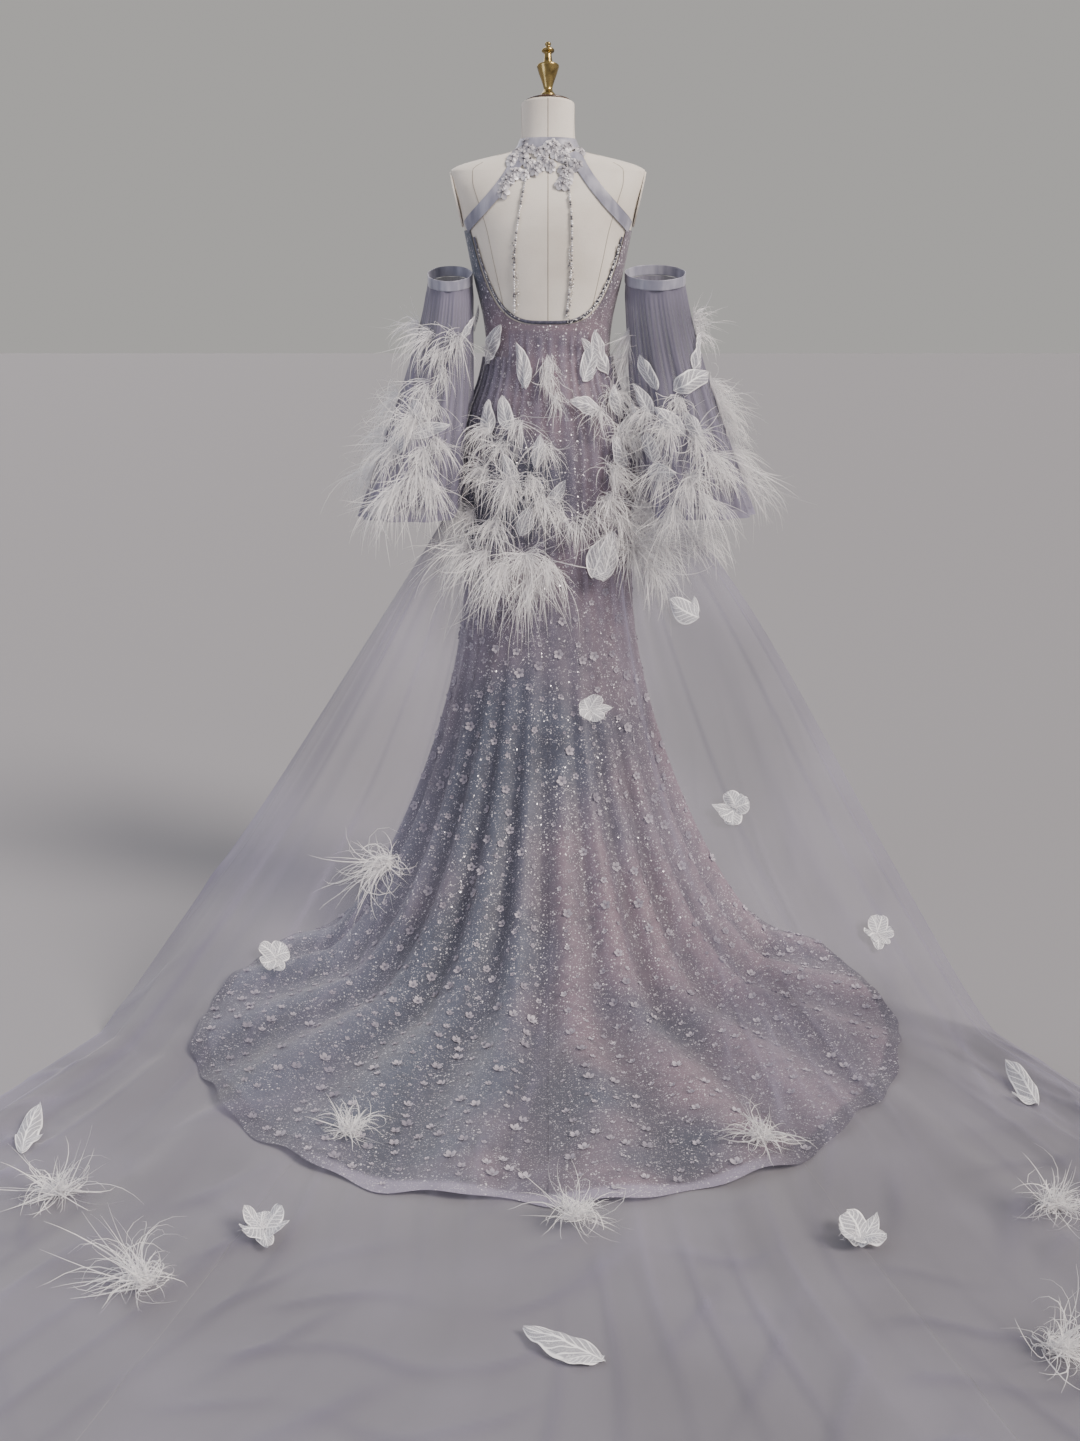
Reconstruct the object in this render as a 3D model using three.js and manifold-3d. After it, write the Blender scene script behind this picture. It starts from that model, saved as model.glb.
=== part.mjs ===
// A halter mermaid evening gown with a floor train, off-shoulder bell sleeves, a long net
// overtrain and feather sprays, worn by a limbless dress form on a pole and a round foot.
// Millimetres, +Z up. The origin is on the floor, on the pole's axis. The wearer faces +Y, so
// the low back and the trains lie towards -Y.
import * as THREE from "three";
import { mergeVertices } from "three/addons/utils/BufferGeometryUtils.js";
import Module from "manifold-3d";

const wasm = await Module();
wasm.setup();

// Driving sizes
const CLOTH = 1.6; // wall of the gown's lined cloth
const NET = 1.2; // wall of the net overtrain and of the sleeves
const SEAM = 0.5; // gap between two pieces that are sewn edge to edge
const ON_FORM = 1.0; // from the form's skin to the cloth on it
const ON_CLOTH = 0.4; // from cloth to what is sewn on it
const NECK_TOP_Z = 1630;
const NECK_TILT = THREE.MathUtils.degToRad(12.5);
const FORM_FOOT_Z = 848; // underside of the padded torso
const KNEE_Z = 700; // where the skirt leaves the thighs and flares
const COLLAR_Z = 1546;
const COLLAR_RINGS = [1548, 1556, 1568];
const UNDERARM_Z = 1400;
const LOW_BACK_Z = 1225;
const LOW_BACK_HALF = 146; // half width of the open back at the underarm
const LOW_BACK_POWER = 3.7;
const STRAP_WIDE = 23;
const POLE_R = 14;
const BASE_R = 165;
const BASE_TALL = 24;

// Sections of the body from the knee to the neck: half width, depth before and behind the
// side seam, and the seam's own place
const BODY = [
  { z: 700, half: 166, front: 108, back: 126, mid: 0 },
  { z: 780, half: 164, front: 104, back: 122, mid: 0 },
  { z: 848, half: 165, front: 102, back: 120, mid: 0 },
  { z: 910, half: 170, front: 104, back: 123, mid: 0 },
  { z: 978, half: 170, front: 103, back: 121, mid: 0 },
  { z: 1060, half: 150, front: 96, back: 104, mid: 0 },
  { z: 1120, half: 128, front: 88, back: 89, mid: 2 },
  { z: 1178, half: 117, front: 82, back: 80, mid: 4 },
  { z: 1240, half: 123, front: 88, back: 85, mid: 4 },
  { z: 1300, half: 137, front: 98, back: 93, mid: 4 },
  { z: 1345, half: 147, front: 104, back: 97, mid: 2 },
  { z: 1400, half: 158, front: 100, back: 98, mid: 0 },
  { z: 1450, half: 175, front: 86, back: 90, mid: 0 },
  { z: 1485, half: 187, front: 70, back: 76, mid: -1 },
  { z: 1508, half: 187, front: 58, back: 63, mid: -2 },
  { z: 1519, half: 170, front: 53, back: 58, mid: -2 },
  { z: 1528, half: 140, front: 50, back: 55, mid: -1 },
  { z: 1536, half: 106, front: 49, back: 53, mid: 0 },
  { z: 1543, half: 76, front: 48, back: 51, mid: 2 },
  { z: 1552, half: 58, front: 47, back: 49, mid: 4 },
  { z: 1575, half: 51, front: 46, back: 46, mid: 7 },
  { z: 1630, half: 50, front: 46, back: 45, mid: 12 },
];
const BODY_SQUARENESS = 2.25; // 2 is an ellipse
const BUST = { out: 26, x: 74, z: 1352, wide: 46, tall: 50 };

// The skirt's plan, by degrees from straight behind: where it meets the floor, and its hem
const PLAN = [
  { deg: 0, lands: 640, hem: 1185 },
  { deg: 15, lands: 620, hem: 1150 },
  { deg: 30, lands: 570, hem: 1020 },
  { deg: 45, lands: 520, hem: 872 },
  { deg: 60, lands: 482, hem: 705 },
  { deg: 75, lands: 450, hem: 575 },
  { deg: 90, lands: 420, hem: 462 },
  { deg: 120, lands: 372, hem: 398 },
  { deg: 150, lands: 340, hem: 362 },
  { deg: 180, lands: 328, hem: 348 },
];

// Godet folds: degrees from straight behind (minus is the wearer's left), half width, height
const FOLDS = [
  { deg: -172, half: 9, deep: 13 },
  { deg: -148, half: 10, deep: 16 },
  { deg: -124, half: 9, deep: 14 },
  { deg: -101, half: 9, deep: 17 },
  { deg: -79, half: 9, deep: 20 },
  { deg: -62, half: 7, deep: 24 },
  { deg: -46, half: 7, deep: 19 },
  { deg: -32, half: 6.5, deep: 25 },
  { deg: -19, half: 6, deep: 20 },
  { deg: -7, half: 5.5, deep: 23 },
  { deg: 5, half: 5.5, deep: 17 },
  { deg: 16, half: 5.5, deep: 25 },
  { deg: 28, half: 6, deep: 21 },
  { deg: 42, half: 7, deep: 25 },
  { deg: 58, half: 8, deep: 17 },
  { deg: 77, half: 9, deep: 22 },
  { deg: 100, half: 9, deep: 15 },
  { deg: 123, half: 10, deep: 17 },
  { deg: 147, half: 9, deep: 13 },
  { deg: 170, half: 8, deep: 15 },
];
const FOLD_MOST = 25;

// Smooth value of a table's column at a place, through Hermite spans
function read(table, key, column, at) {
  const last = table.length - 1;
  if (at <= table[0][key]) return table[0][column];
  if (at >= table[last][key]) return table[last][column];
  let i = 0;
  while (table[i + 1][key] < at) i += 1;
  const slope = (k) => {
    const a = table[Math.max(k - 1, 0)];
    const b = table[Math.min(k + 1, last)];
    return (b[column] - a[column]) / (b[key] - a[key]);
  };
  const wide = table[i + 1][key] - table[i][key];
  const t = (at - table[i][key]) / wide;
  const p = table[i][column];
  const q = table[i + 1][column];
  const held = 3 * (q - p);
  const limit = (m) =>
    held === 0 ? 0 : Math.sign(held) * Math.min(Math.max(m * Math.sign(held), 0), Math.abs(held));
  const m0 = limit(slope(i) * wide);
  const m1 = limit(slope(i + 1) * wide);
  const rest = (t - 1) * (t - 1);
  return (1 + 2 * t) * rest * p + t * rest * m0 + t * t * (3 - 2 * t) * q + t * t * (t - 1) * m1;
}

const lerp = THREE.MathUtils.lerp;
const rad = THREE.MathUtils.degToRad;
const smooth = (x, from, to) => THREE.MathUtils.smoothstep(x, from, to);
const power = (t, p) => Math.sign(t) * Math.abs(t) ** p;

// A point of the body's skin, moved out level by a clearance. deg is from straight behind.
function bodyPoint(deg, z, out = 0) {
  const s = Math.sin(rad(deg));
  const c = Math.cos(rad(deg));
  const p = 2 / BODY_SQUARENESS;
  const deep = read(BODY, "z", c >= 0 ? "back" : "front", z) + out;
  const x = (read(BODY, "z", "half", z) + out) * power(s, p);
  let y = read(BODY, "z", "mid", z) - deep * power(c, p);
  if (c < 0) {
    const across = ((Math.abs(x) - BUST.x) / BUST.wide) ** 2;
    y += BUST.out * Math.exp(-across - ((z - BUST.z) / BUST.tall) ** 2) * Math.min(1, -3 * c);
  }
  return new THREE.Vector3(x, y, z);
}

// The degrees at which the back of the body is x wide of the middle
function degAt(x, z, out = 0) {
  const share = Math.min(Math.abs(x) / (read(BODY, "z", "half", z) + out), 1);
  return (Math.sign(x) * Math.asin(share ** (BODY_SQUARENESS / 2)) * 180) / Math.PI;
}

// A point on the back of the form, given across and up, and raised from its skin
function onBack(x, z, out) {
  const deg = degAt(x, z);
  const h = 1;
  const p = bodyPoint(deg, z);
  const along = bodyPoint(deg + h, z).sub(p);
  const up = bodyPoint(deg, z + h).sub(p);
  return p.addScaledVector(along.cross(up).normalize(), out);
}

// The gown's underside before folding. s runs 0 to 1 from the neck to the knee, 1 to 2 down
// the flare to the floor, and 2 to 3 along the floor to the hem.
function gownSmooth(deg, s) {
  if (s <= 1) return bodyPoint(deg, lerp(COLLAR_Z - SEAM, KNEE_Z, s), ON_FORM);
  const away = Math.abs(((deg + 540) % 360) - 180);
  const lands = read(PLAN, "deg", "lands", away);
  const ray = new THREE.Vector3(Math.sin(rad(deg)), -Math.cos(rad(deg)), 0);
  if (s >= 2) return ray.multiplyScalar(lerp(lands, read(PLAN, "deg", "hem", away), s - 2));
  const knee = bodyPoint(deg, KNEE_Z, ON_FORM);
  const behind = Math.max(0, Math.cos(rad(deg)));
  const shin = knee.clone().multiplyScalar(lerp(1.1, 1.22, behind)).setZ(lerp(450, 430, behind));
  const sweep = ray.clone().multiplyScalar(lands * lerp(0.67, 0.56, behind));
  sweep.z = lerp(150, 26, behind);
  const curve = new THREE.CubicBezierCurve3(knee, shin, sweep, ray.multiplyScalar(lands));
  return curve.getPoint(s - 1);
}

// The tallest that a fold may stand at each place along the skirt
const foldRise = (s) => smooth(s, 0.96, 1.75) * lerp(1, 0.5, smooth(s, 2.1, 3));

// How far the godet folds lift the cloth
function foldLift(deg, s) {
  let lift = 0;
  for (const fold of FOLDS) {
    const off = Math.abs(((deg - fold.deg + 540) % 360) - 180) / fold.half;
    if (off < 1) lift = Math.max(lift, fold.deep * Math.cos((off * Math.PI) / 2) ** 2);
  }
  return lift * foldRise(s);
}

// Place, outward normal, and directions across and down of a cloth surface
function frameOn(surface, u, v, du = 0.5, dv = 0.01) {
  const across = surface(u + du, v).sub(surface(u - du, v)).normalize();
  const down = surface(u, v + dv).sub(surface(u, v - dv)).normalize();
  return { p: surface(u, v), across, down, out: down.clone().cross(across).normalize() };
}

// The gown's cloth with its folds, moved out, and across where a seam needs room
function gownPoint(deg, s, out, shift = 0) {
  const at = frameOn(gownSmooth, deg, s);
  if (s >= 2) at.out.set(0, 0, 1);
  return at.p.addScaledVector(at.out, foldLift(deg, s) + out).addScaledVector(at.across, shift);
}

// A closed wall between two grids of points, rows down and columns across. A ring's last
// column joins its first.
function wall(outer, inner, ring = false) {
  const rows = outer.length;
  const cols = outer[0].length;
  const points = [...outer.flat(), ...inner.flat()];
  const at = (side, j, i) => side * rows * cols + j * cols + (i % cols);
  const faces = [];
  const quad = (a, b, c, d) => faces.push(a, b, c, a, c, d);
  const spans = ring ? cols : cols - 1;
  for (let j = 0; j < rows - 1; j += 1)
    for (let i = 0; i < spans; i += 1) {
      quad(at(0, j, i), at(0, j + 1, i), at(0, j + 1, i + 1), at(0, j, i + 1));
      quad(at(1, j, i), at(1, j, i + 1), at(1, j + 1, i + 1), at(1, j + 1, i));
    }
  for (let i = 0; i < spans; i += 1) {
    quad(at(0, 0, i), at(0, 0, i + 1), at(1, 0, i + 1), at(1, 0, i));
    quad(at(0, rows - 1, i), at(1, rows - 1, i), at(1, rows - 1, i + 1), at(0, rows - 1, i + 1));
  }
  if (!ring)
    for (let j = 0; j < rows - 1; j += 1) {
      quad(at(0, j, 0), at(1, j, 0), at(1, j + 1, 0), at(0, j + 1, 0));
      const e = cols - 1;
      quad(at(0, j, e), at(0, j + 1, e), at(1, j + 1, e), at(1, j, e));
    }
  return geometryOf(points, faces);
}

// Geometry from points and corner numbers, turned to face out
function geometryOf(points, faces) {
  let volume = 0;
  for (let i = 0; i < faces.length; i += 3) {
    const [a, b, c] = [points[faces[i]], points[faces[i + 1]], points[faces[i + 2]]];
    volume += a.dot(b.clone().cross(c));
  }
  if (volume < 0)
    for (let i = 0; i < faces.length; i += 3) [faces[i], faces[i + 1]] = [faces[i + 1], faces[i]];
  const geometry = new THREE.BufferGeometry().setFromPoints(points);
  geometry.setIndex(faces);
  return geometry;
}

function solidOf(geometry) {
  const bare = new THREE.BufferGeometry();
  bare.setAttribute("position", geometry.getAttribute("position").clone());
  if (geometry.index) bare.setIndex(geometry.index.clone());
  const merged = mergeVertices(bare, 1e-3);
  const made = new wasm.Manifold(
    new wasm.Mesh({
      numProp: 3,
      vertProperties: merged.attributes.position.array,
      triVerts: new Uint32Array(merged.index.array),
    }),
  );
  return made;
}

function geometryFrom(solid) {
  const mesh = solid.getMesh();
  const geometry = new THREE.BufferGeometry();
  const points = new Float32Array(mesh.numVert * 3);
  for (let i = 0; i < mesh.numVert; i += 1)
    points.set(mesh.vertProperties.subarray(i * mesh.numProp, i * mesh.numProp + 3), i * 3);
  geometry.setAttribute("position", new THREE.BufferAttribute(points, 3));
  geometry.setIndex(new THREE.BufferAttribute(mesh.triVerts.slice(), 1));
  return geometry;
}

// A grid of points from a function of row and column numbers
const grid = (rows, cols, f) =>
  Array.from({ length: rows + 1 }, (_, j) => Array.from({ length: cols + 1 }, (_, i) => f(j, i)));
const ringGrid = (rows, cols, f) =>
  Array.from({ length: rows + 1 }, (_, j) => Array.from({ length: cols }, (_, i) => f(j, i)));

const paint = (color, roughness, metalness = 0, opacity = 1) =>
  new THREE.MeshStandardMaterial({
    color, roughness, metalness, opacity, transparent: opacity < 1,
  });
const MATERIAL = {
  linen: paint(0xd9d2ca, 0.85),
  wood: paint(0x2a1e18, 0.5),
  brass: paint(0x9c8450, 0.3, 1),
  iron: paint(0x2b2b2e, 0.5, 0.8),
  sequin: paint(0x8f8a9c, 0.45, 0.1),
  satin: paint(0x8d8ba0, 0.35),
  lace: paint(0xdedbe4, 0.5),
  net: paint(0x7a7488, 0.7, 0, 0.4),
  bead: paint(0xc9c6c4, 0.2, 0.3),
  feather: paint(0xe9e7ea, 0.8),
};

const gown = new THREE.Group();
const solids = new Map();

function addMesh(name, geometry, material, parent = gown) {
  const mesh = new THREE.Mesh(geometry, MATERIAL[material]);
  mesh.name = name;
  parent.add(mesh);
  mesh.updateWorldMatrix(true, false);
  solids.set(name, solidOf(geometry.clone().applyMatrix4(mesh.matrixWorld)));
  return mesh;
}

// Heights of the rings that the form and the gown share, so that one lies evenly on the other
const HIP_RINGS = [890, 975, 1045, 1110, 1165, 1215, 1262, 1310, 1360, 1402];
const CHEST_RINGS = [1440, 1475, 1500, 1514, 1525, 1535, 1545.5];
const NECK_RINGS = [1548, 1556, 1568, 1592, NECK_TOP_Z];

// A column at each fold's crest and one in each valley, between two ends
function foldColumns(crests, from, to, near) {
  const inside = crests.filter((c) => c > from && c < to);
  const valleys = crests.slice(1).map((c, i) => (c + crests[i]) / 2)
    .filter((c) => c > from + near && c < to - near);
  return [from, ...inside, ...valleys, to].sort((a, b) => a - b);
}

const CRESTS = FOLDS.flatMap(({ deg }) => [deg, deg + 360]).sort((a, b) => a - b);
const LEFT_COLUMNS = foldColumns(CRESTS, -90, 0, 3);
const RIGHT_COLUMNS = foldColumns(CRESTS, 0, 90, 3);
const FRONT_COLUMNS = foldColumns(CRESTS, 90, 270, 3);
const ALL_COLUMNS = [LEFT_COLUMNS, RIGHT_COLUMNS, FRONT_COLUMNS].flatMap((c) => c.slice(0, -1));

// The padded torso with its neck: rings up the body, closed at the foot and the tilted top
const FORM_ROWS = [FORM_FOOT_Z, ...HIP_RINGS, ...CHEST_RINGS, ...NECK_RINGS];
const FORM_COLS = ALL_COLUMNS.length;

function formPoint(deg, z) {
  const p = bodyPoint(deg, z);
  p.z += smooth(z, 1560, NECK_TOP_Z) * Math.tan(NECK_TILT) * (read(BODY, "z", "mid", z) - p.y);
  return p;
}

function formTorso() {
  const points = [];
  for (const z of FORM_ROWS)
    for (let i = 0; i < FORM_COLS; i += 1) points.push(formPoint(ALL_COLUMNS[i], z));
  const faces = [];
  const rows = FORM_ROWS.length;
  for (let j = 0; j < rows - 1; j += 1)
    for (let i = 0; i < FORM_COLS; i += 1) {
      const k = (i + 1) % FORM_COLS;
      const [a, b] = [j * FORM_COLS, (j + 1) * FORM_COLS];
      faces.push(a + i, a + k, b + i, a + k, b + k, b + i);
    }
  const middle = (z) => new THREE.Vector3(0, read(BODY, "z", "mid", z), z);
  const foot = points.push(middle(FORM_FOOT_Z)) - 1;
  const top = points.push(middle(NECK_TOP_Z)) - 1;
  const last = (rows - 1) * FORM_COLS;
  for (let i = 0; i < FORM_COLS; i += 1) {
    const k = (i + 1) % FORM_COLS;
    faces.push(foot, k, i, top, last + i, last + k);
  }
  return solidOf(geometryOf(points, faces));
}

// The flat armhole of a limbless form leans in from the shoulder tip to the underarm
const ARMHOLE = { topX: 184, topZ: 1512, lowX: 160, lowZ: 1405, deep: 34, tall: 52, thick: 3 };

function armholeFrame(side) {
  const frame = new THREE.Group();
  const lean = Math.atan2(ARMHOLE.topX - ARMHOLE.lowX, ARMHOLE.topZ - ARMHOLE.lowZ);
  frame.position.set(
    (side * (ARMHOLE.topX + ARMHOLE.lowX)) / 2, -3, (ARMHOLE.topZ + ARMHOLE.lowZ) / 2,
  );
  frame.rotation.y = side * (Math.PI / 2 + lean);
  gown.add(frame);
  frame.updateWorldMatrix(true, false);
  return frame;
}

function turned(profile, sides) {
  return new THREE.LatheGeometry(
    profile.map(([r, z]) => new THREE.Vector2(r, z)), sides,
  ).rotateX(Math.PI / 2);
}

function buildForm() {
  let torso = formTorso();
  const block = 200;
  for (const [side, word] of [[-1, "left"], [1, "right"]]) {
    const frame = armholeFrame(side);
    const cutter = new THREE.BoxGeometry(block, block, block).translate(0, 0, block / 2);
    torso = torso.subtract(solidOf(cutter.applyMatrix4(frame.matrixWorld)));
    const plate = new THREE.CylinderGeometry(1, 1, ARMHOLE.thick, 20).rotateX(Math.PI / 2);
    plate.scale(ARMHOLE.tall, ARMHOLE.deep, 1).translate(0, 0, ARMHOLE.thick / 2 + ON_CLOTH);
    addMesh("form_armhole_" + word, plate, "linen", frame);
  }
  addMesh("form_torso", geometryFrom(torso), "linen");
  const cap = new THREE.Group();
  cap.position.set(0, read(BODY, "z", "mid", NECK_TOP_Z), NECK_TOP_Z);
  cap.rotation.x = -NECK_TILT;
  gown.add(cap);
  const capTop = 6;
  addMesh("form_cap", turned([[0, ON_CLOTH], [44, ON_CLOTH], [46, 3], [42, capTop], [0, capTop]], 20),
    "wood", cap);
  // Foot, urn with its rim, shaft, ring and ball
  const knob = [
    [0, 0], [15, 0], [15, 14], [9, 20], [9, 30], [16, 48], [20, 62], [21, 68], [9.5, 72], [7, 90],
    [12, 96], [12, 100], [5.5, 104], [5.5, 110], [0, 113],
  ].map(([r, z]) => [r, z + capTop + ON_CLOTH]);
  addMesh("form_finial", turned(knob, 12), "brass", cap);
  addMesh("stand_pole", turned([
    [0, BASE_TALL + ON_CLOTH], [POLE_R + 8, BASE_TALL + ON_CLOTH], [POLE_R + 8, 60], [POLE_R, 66],
    [POLE_R, FORM_FOOT_Z - ON_CLOTH], [0, FORM_FOOT_Z - ON_CLOTH],
  ], 14), "iron");
  addMesh("stand_base", turned([
    [0, 0], [BASE_R - 4, 0], [BASE_R, 4], [BASE_R, 9], [120, 15], [40, BASE_TALL], [0, BASE_TALL],
  ], 24), "iron");
}

// The gown's three panels
const lowBack = (x) =>
  LOW_BACK_Z + (UNDERARM_Z - LOW_BACK_Z) * (Math.abs(x) / LOW_BACK_HALF) ** LOW_BACK_POWER;
const sOf = (z) => (COLLAR_Z - SEAM - z) / (COLLAR_Z - SEAM - KNEE_Z);
const BACK_ROWS = [
  ...[...HIP_RINGS].reverse().map(sOf), sOf(795),
  1, 1.22, 1.42, 1.58, 1.72, 1.86, 2, 2.25, 2.5, 2.78, 3,
];
const FRONT_ROWS = [
  ...[...HIP_RINGS, ...CHEST_RINGS].reverse().map(sOf), sOf(795),
  1, 1.3, 1.6, 1.8, 2, 3,
];

// Room that a panel's first and last columns leave for the seam
const seamShift = (i, cols) => (i === 0 ? SEAM / 2 : i === cols ? -SEAM / 2 : 0);

function gownPanel(rows, columns) {
  const last = columns.length - 1;
  const side = (out) => grid(rows.length - 1, last, (j, i) =>
    gownPoint(columns[i], rows[j], out, seamShift(i, last)));
  return solidOf(wall(side(CLOTH), side(0)));
}

function plate(outline, from, to) {
  const shape = new THREE.Shape(outline.map(([x, z]) => new THREE.Vector2(x, z)));
  return solidOf(new THREE.ExtrudeGeometry(shape, { depth: to - from, bevelEnabled: false })
    .rotateX(Math.PI / 2).translate(0, to, 0));
}

function openBackOutline() {
  const steps = 28;
  const edge = Array.from({ length: steps + 1 }, (_, i) => {
    const x = lerp(-LOW_BACK_HALF, LOW_BACK_HALF, i / steps);
    return [x, lowBack(x)];
  });
  return [...edge, [260, UNDERARM_Z], [260, 1700], [-260, 1700], [-260, UNDERARM_Z]];
}

// The halter's edge from the underarm up to the collar
const HALTER = [
  { z: 1400, x: 162 }, { z: 1412, x: 132 }, { z: 1435, x: 108 }, { z: 1470, x: 88 },
  { z: 1505, x: 74 }, { z: 1546, x: 60 },
];

function armholeOutline(side) {
  const steps = 14;
  const edge = Array.from({ length: steps + 1 }, (_, i) => {
    const z = lerp(UNDERARM_Z, COLLAR_Z, i / steps);
    return [side * read(HALTER, "z", "x", z), z];
  });
  return [...edge, [side * 60, 1700], [side * 260, 1700], [side * 260, UNDERARM_Z]];
}

function buildGown() {
  const back = plate(openBackOutline(), -400, 100);
  addMesh("gown_back_left", geometryFrom(gownPanel(BACK_ROWS, LEFT_COLUMNS).subtract(back)),
    "sequin");
  addMesh("gown_back_right", geometryFrom(gownPanel(BACK_ROWS, RIGHT_COLUMNS).subtract(back)),
    "sequin");
  let front = gownPanel(FRONT_ROWS, FRONT_COLUMNS);
  for (const side of [-1, 1]) front = front.subtract(plate(armholeOutline(side), -100, 400));
  addMesh("gown_front", geometryFrom(front), "sequin");
}

// Collar, straps, binding and beads. All lie on the form's skin.
function ribbonOnBack(path, wide, out, thick, steps, from = 0, to = 1) {
  const edge = (t, off) => {
    const p = path(t);
    const q = path(t + 0.01);
    const back = path(t - 0.01);
    const along = new THREE.Vector2(q.x - back.x, q.y - back.y).normalize();
    return [p.x - along.y * off, p.y + along.x * off];
  };
  const side = (lift) =>
    grid(steps, 2, (j, i) => {
      const [x, z] = edge(lerp(from, to, j / steps), (i / 2 - 0.5) * wide);
      return onBack(x, z, lift + 1.4 * smooth(z, 1490, 1530));
    });
  return wall(side(out + thick), side(out));
}

function bodyRing(z, out, cols) {
  return Array.from({ length: cols }, (_, i) => bodyPoint((i * 360) / cols - 180, z, out));
}

const BEADS = [
  { name: "beads_left", x0: -31, x1: -62, bow: -12 },
  { name: "beads_right", x0: 31, x1: 34, bow: 12 },
];
const BEAD_R = 2.2;

function beadTube(row) {
  const top = COLLAR_Z - 17;
  const steps = 11;
  const centre = (t) => {
    const x = lerp(row.x0, row.x1, t) + row.bow * Math.sin(t * Math.PI);
    return [x, lerp(top, lowBack(row.x1) + 13, t)];
  };
  const rings = grid(steps, 5, (j, i) => {
    const [x, z] = centre(j / steps);
    const [x2, z2] = centre(j / steps + 0.01);
    const mid = onBack(x, z, ON_FORM + BEAD_R);
    const along = onBack(x2, z2, ON_FORM + BEAD_R).sub(mid).normalize();
    const out = onBack(x, z, 20).sub(mid).normalize();
    const across = along.clone().cross(out).normalize();
    const turn = (i * Math.PI) / 3;
    return mid.addScaledVector(across, BEAD_R * Math.cos(turn))
      .addScaledVector(out, BEAD_R * Math.sin(turn));
  });
  const points = rings.flat();
  const faces = [];
  for (let j = 0; j < steps; j += 1)
    for (let i = 0; i < 6; i += 1) {
      const [a, b] = [j * 6 + i, j * 6 + ((i + 1) % 6)];
      faces.push(a, b, b + 6, a, b + 6, a + 6);
    }
  const end = steps * 6;
  for (let i = 1; i < 5; i += 1) faces.push(0, i + 1, i, end, end + i, end + i + 1);
  return geometryOf(points, faces);
}

function buildTrims() {
  const collar = (out) => COLLAR_RINGS.map((z) => bodyRing(z, out, 28));
  addMesh("halter_collar", wall(collar(ON_FORM + CLOTH), collar(ON_FORM), true), "lace");
  for (const [side, word] of [[-1, "left"], [1, "right"]]) {
    const path = (t) => new THREE.Vector2(
      side * lerp(50, 146, t) - side * 9 * Math.sin(t * Math.PI),
      lerp(COLLAR_Z - 12, UNDERARM_Z + 14, t),
    );
    addMesh("strap_" + word, ribbonOnBack(path, STRAP_WIDE, ON_FORM + 1, CLOTH, 8), "satin");
  }
  const u = (t) => {
    const x = lerp(-LOW_BACK_HALF + 4, LOW_BACK_HALF - 4, t);
    return new THREE.Vector2(x, lowBack(x));
  };
  const binding = (t) => {
    const p = u(t);
    const along = u(t + 0.01).sub(u(t - 0.01)).normalize();
    return p.add(new THREE.Vector2(-along.y, along.x).multiplyScalar(4.6 + 3.4 * Math.abs(along.y)));
  };
  addMesh("neckline_binding", ribbonOnBack(binding, 8, ON_FORM, CLOTH, 18), "satin");
  for (const row of BEADS) addMesh(row.name, beadTube(row), "bead");
}

// The net overtrain: u runs across from the left edge at -1 to the right edge at 1; v runs
// 0 to 1 down the body, 1 to 2 from the hips out to the floor, 2 to 3 along the floor.
const HIP_DEG = 95;
const LAND = { deg: 54.5, r: 972 };
const END = { wide: 1100, corner: 1400, round: 750 };
const NET_HIP_Z = 890;
const HELD_OUT = new THREE.Vector3(215, -50, -36); // the right wing is held further out
const GORE = 0.37; // where the wings are sewn to the middle gore

// The net's own soft folds
const NET_FOLDS = [
  { u: -0.9, half: 0.06, deep: 16, from: 1.1, to: 2.9 },
  { u: -0.74, half: 0.07, deep: 20, from: 1.05, to: 2.6 },
  { u: -0.55, half: 0.06, deep: 14, from: 1.2, to: 3 },
  { u: -0.4, half: 0.05, deep: 10, from: 1.9, to: 2.8 },
  { u: -0.24, half: 0.05, deep: 14, from: 1.1, to: 2.5 },
  { u: -0.08, half: 0.05, deep: 10, from: 1.3, to: 3 },
  { u: 0.1, half: 0.05, deep: 13, from: 1.1, to: 2.7 },
  { u: 0.27, half: 0.05, deep: 16, from: 1.6, to: 3 },
  { u: 0.45, half: 0.06, deep: 11, from: 1.2, to: 2.4 },
  { u: 0.6, half: 0.06, deep: 18, from: 1.1, to: 2.9 },
  { u: 0.78, half: 0.07, deep: 13, from: 1.2, to: 2.7 },
  { u: 0.92, half: 0.06, deep: 18, from: 1.1, to: 3 },
];

function netWave(u, v) {
  let lift = 0;
  for (const fold of NET_FOLDS) {
    const off = Math.abs(u - fold.u) / fold.half;
    const span = smooth(v, fold.from, fold.from + 0.4) * (1 - smooth(v, fold.to - 0.5, fold.to));
    if (off < 1) lift = Math.max(lift, fold.deep * span * Math.cos((off * Math.PI) / 2) ** 2);
  }
  return lift;
}

// How high the net lies where the skirt's train is under it
function underNet(x, y) {
  const r = Math.hypot(x, y);
  const away = Math.abs((Math.atan2(x, -y) * 180) / Math.PI);
  const lands = read(PLAN, "deg", "lands", away);
  const hem = read(PLAN, "deg", "hem", away);
  const s = 2 + Math.min(Math.max((r - lands) / (hem - lands), 0), 1);
  const onSkirt = FOLD_MOST * foldRise(s) + CLOTH + ON_CLOTH;
  return onSkirt * (1 - smooth(r, hem + 40, hem + 230));
}

// From the body's skin to the underside of the net
const netOff = (z) => ON_FORM + CLOTH + lerp(4.5, 0.5, smooth(z, 900, 1150));

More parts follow.
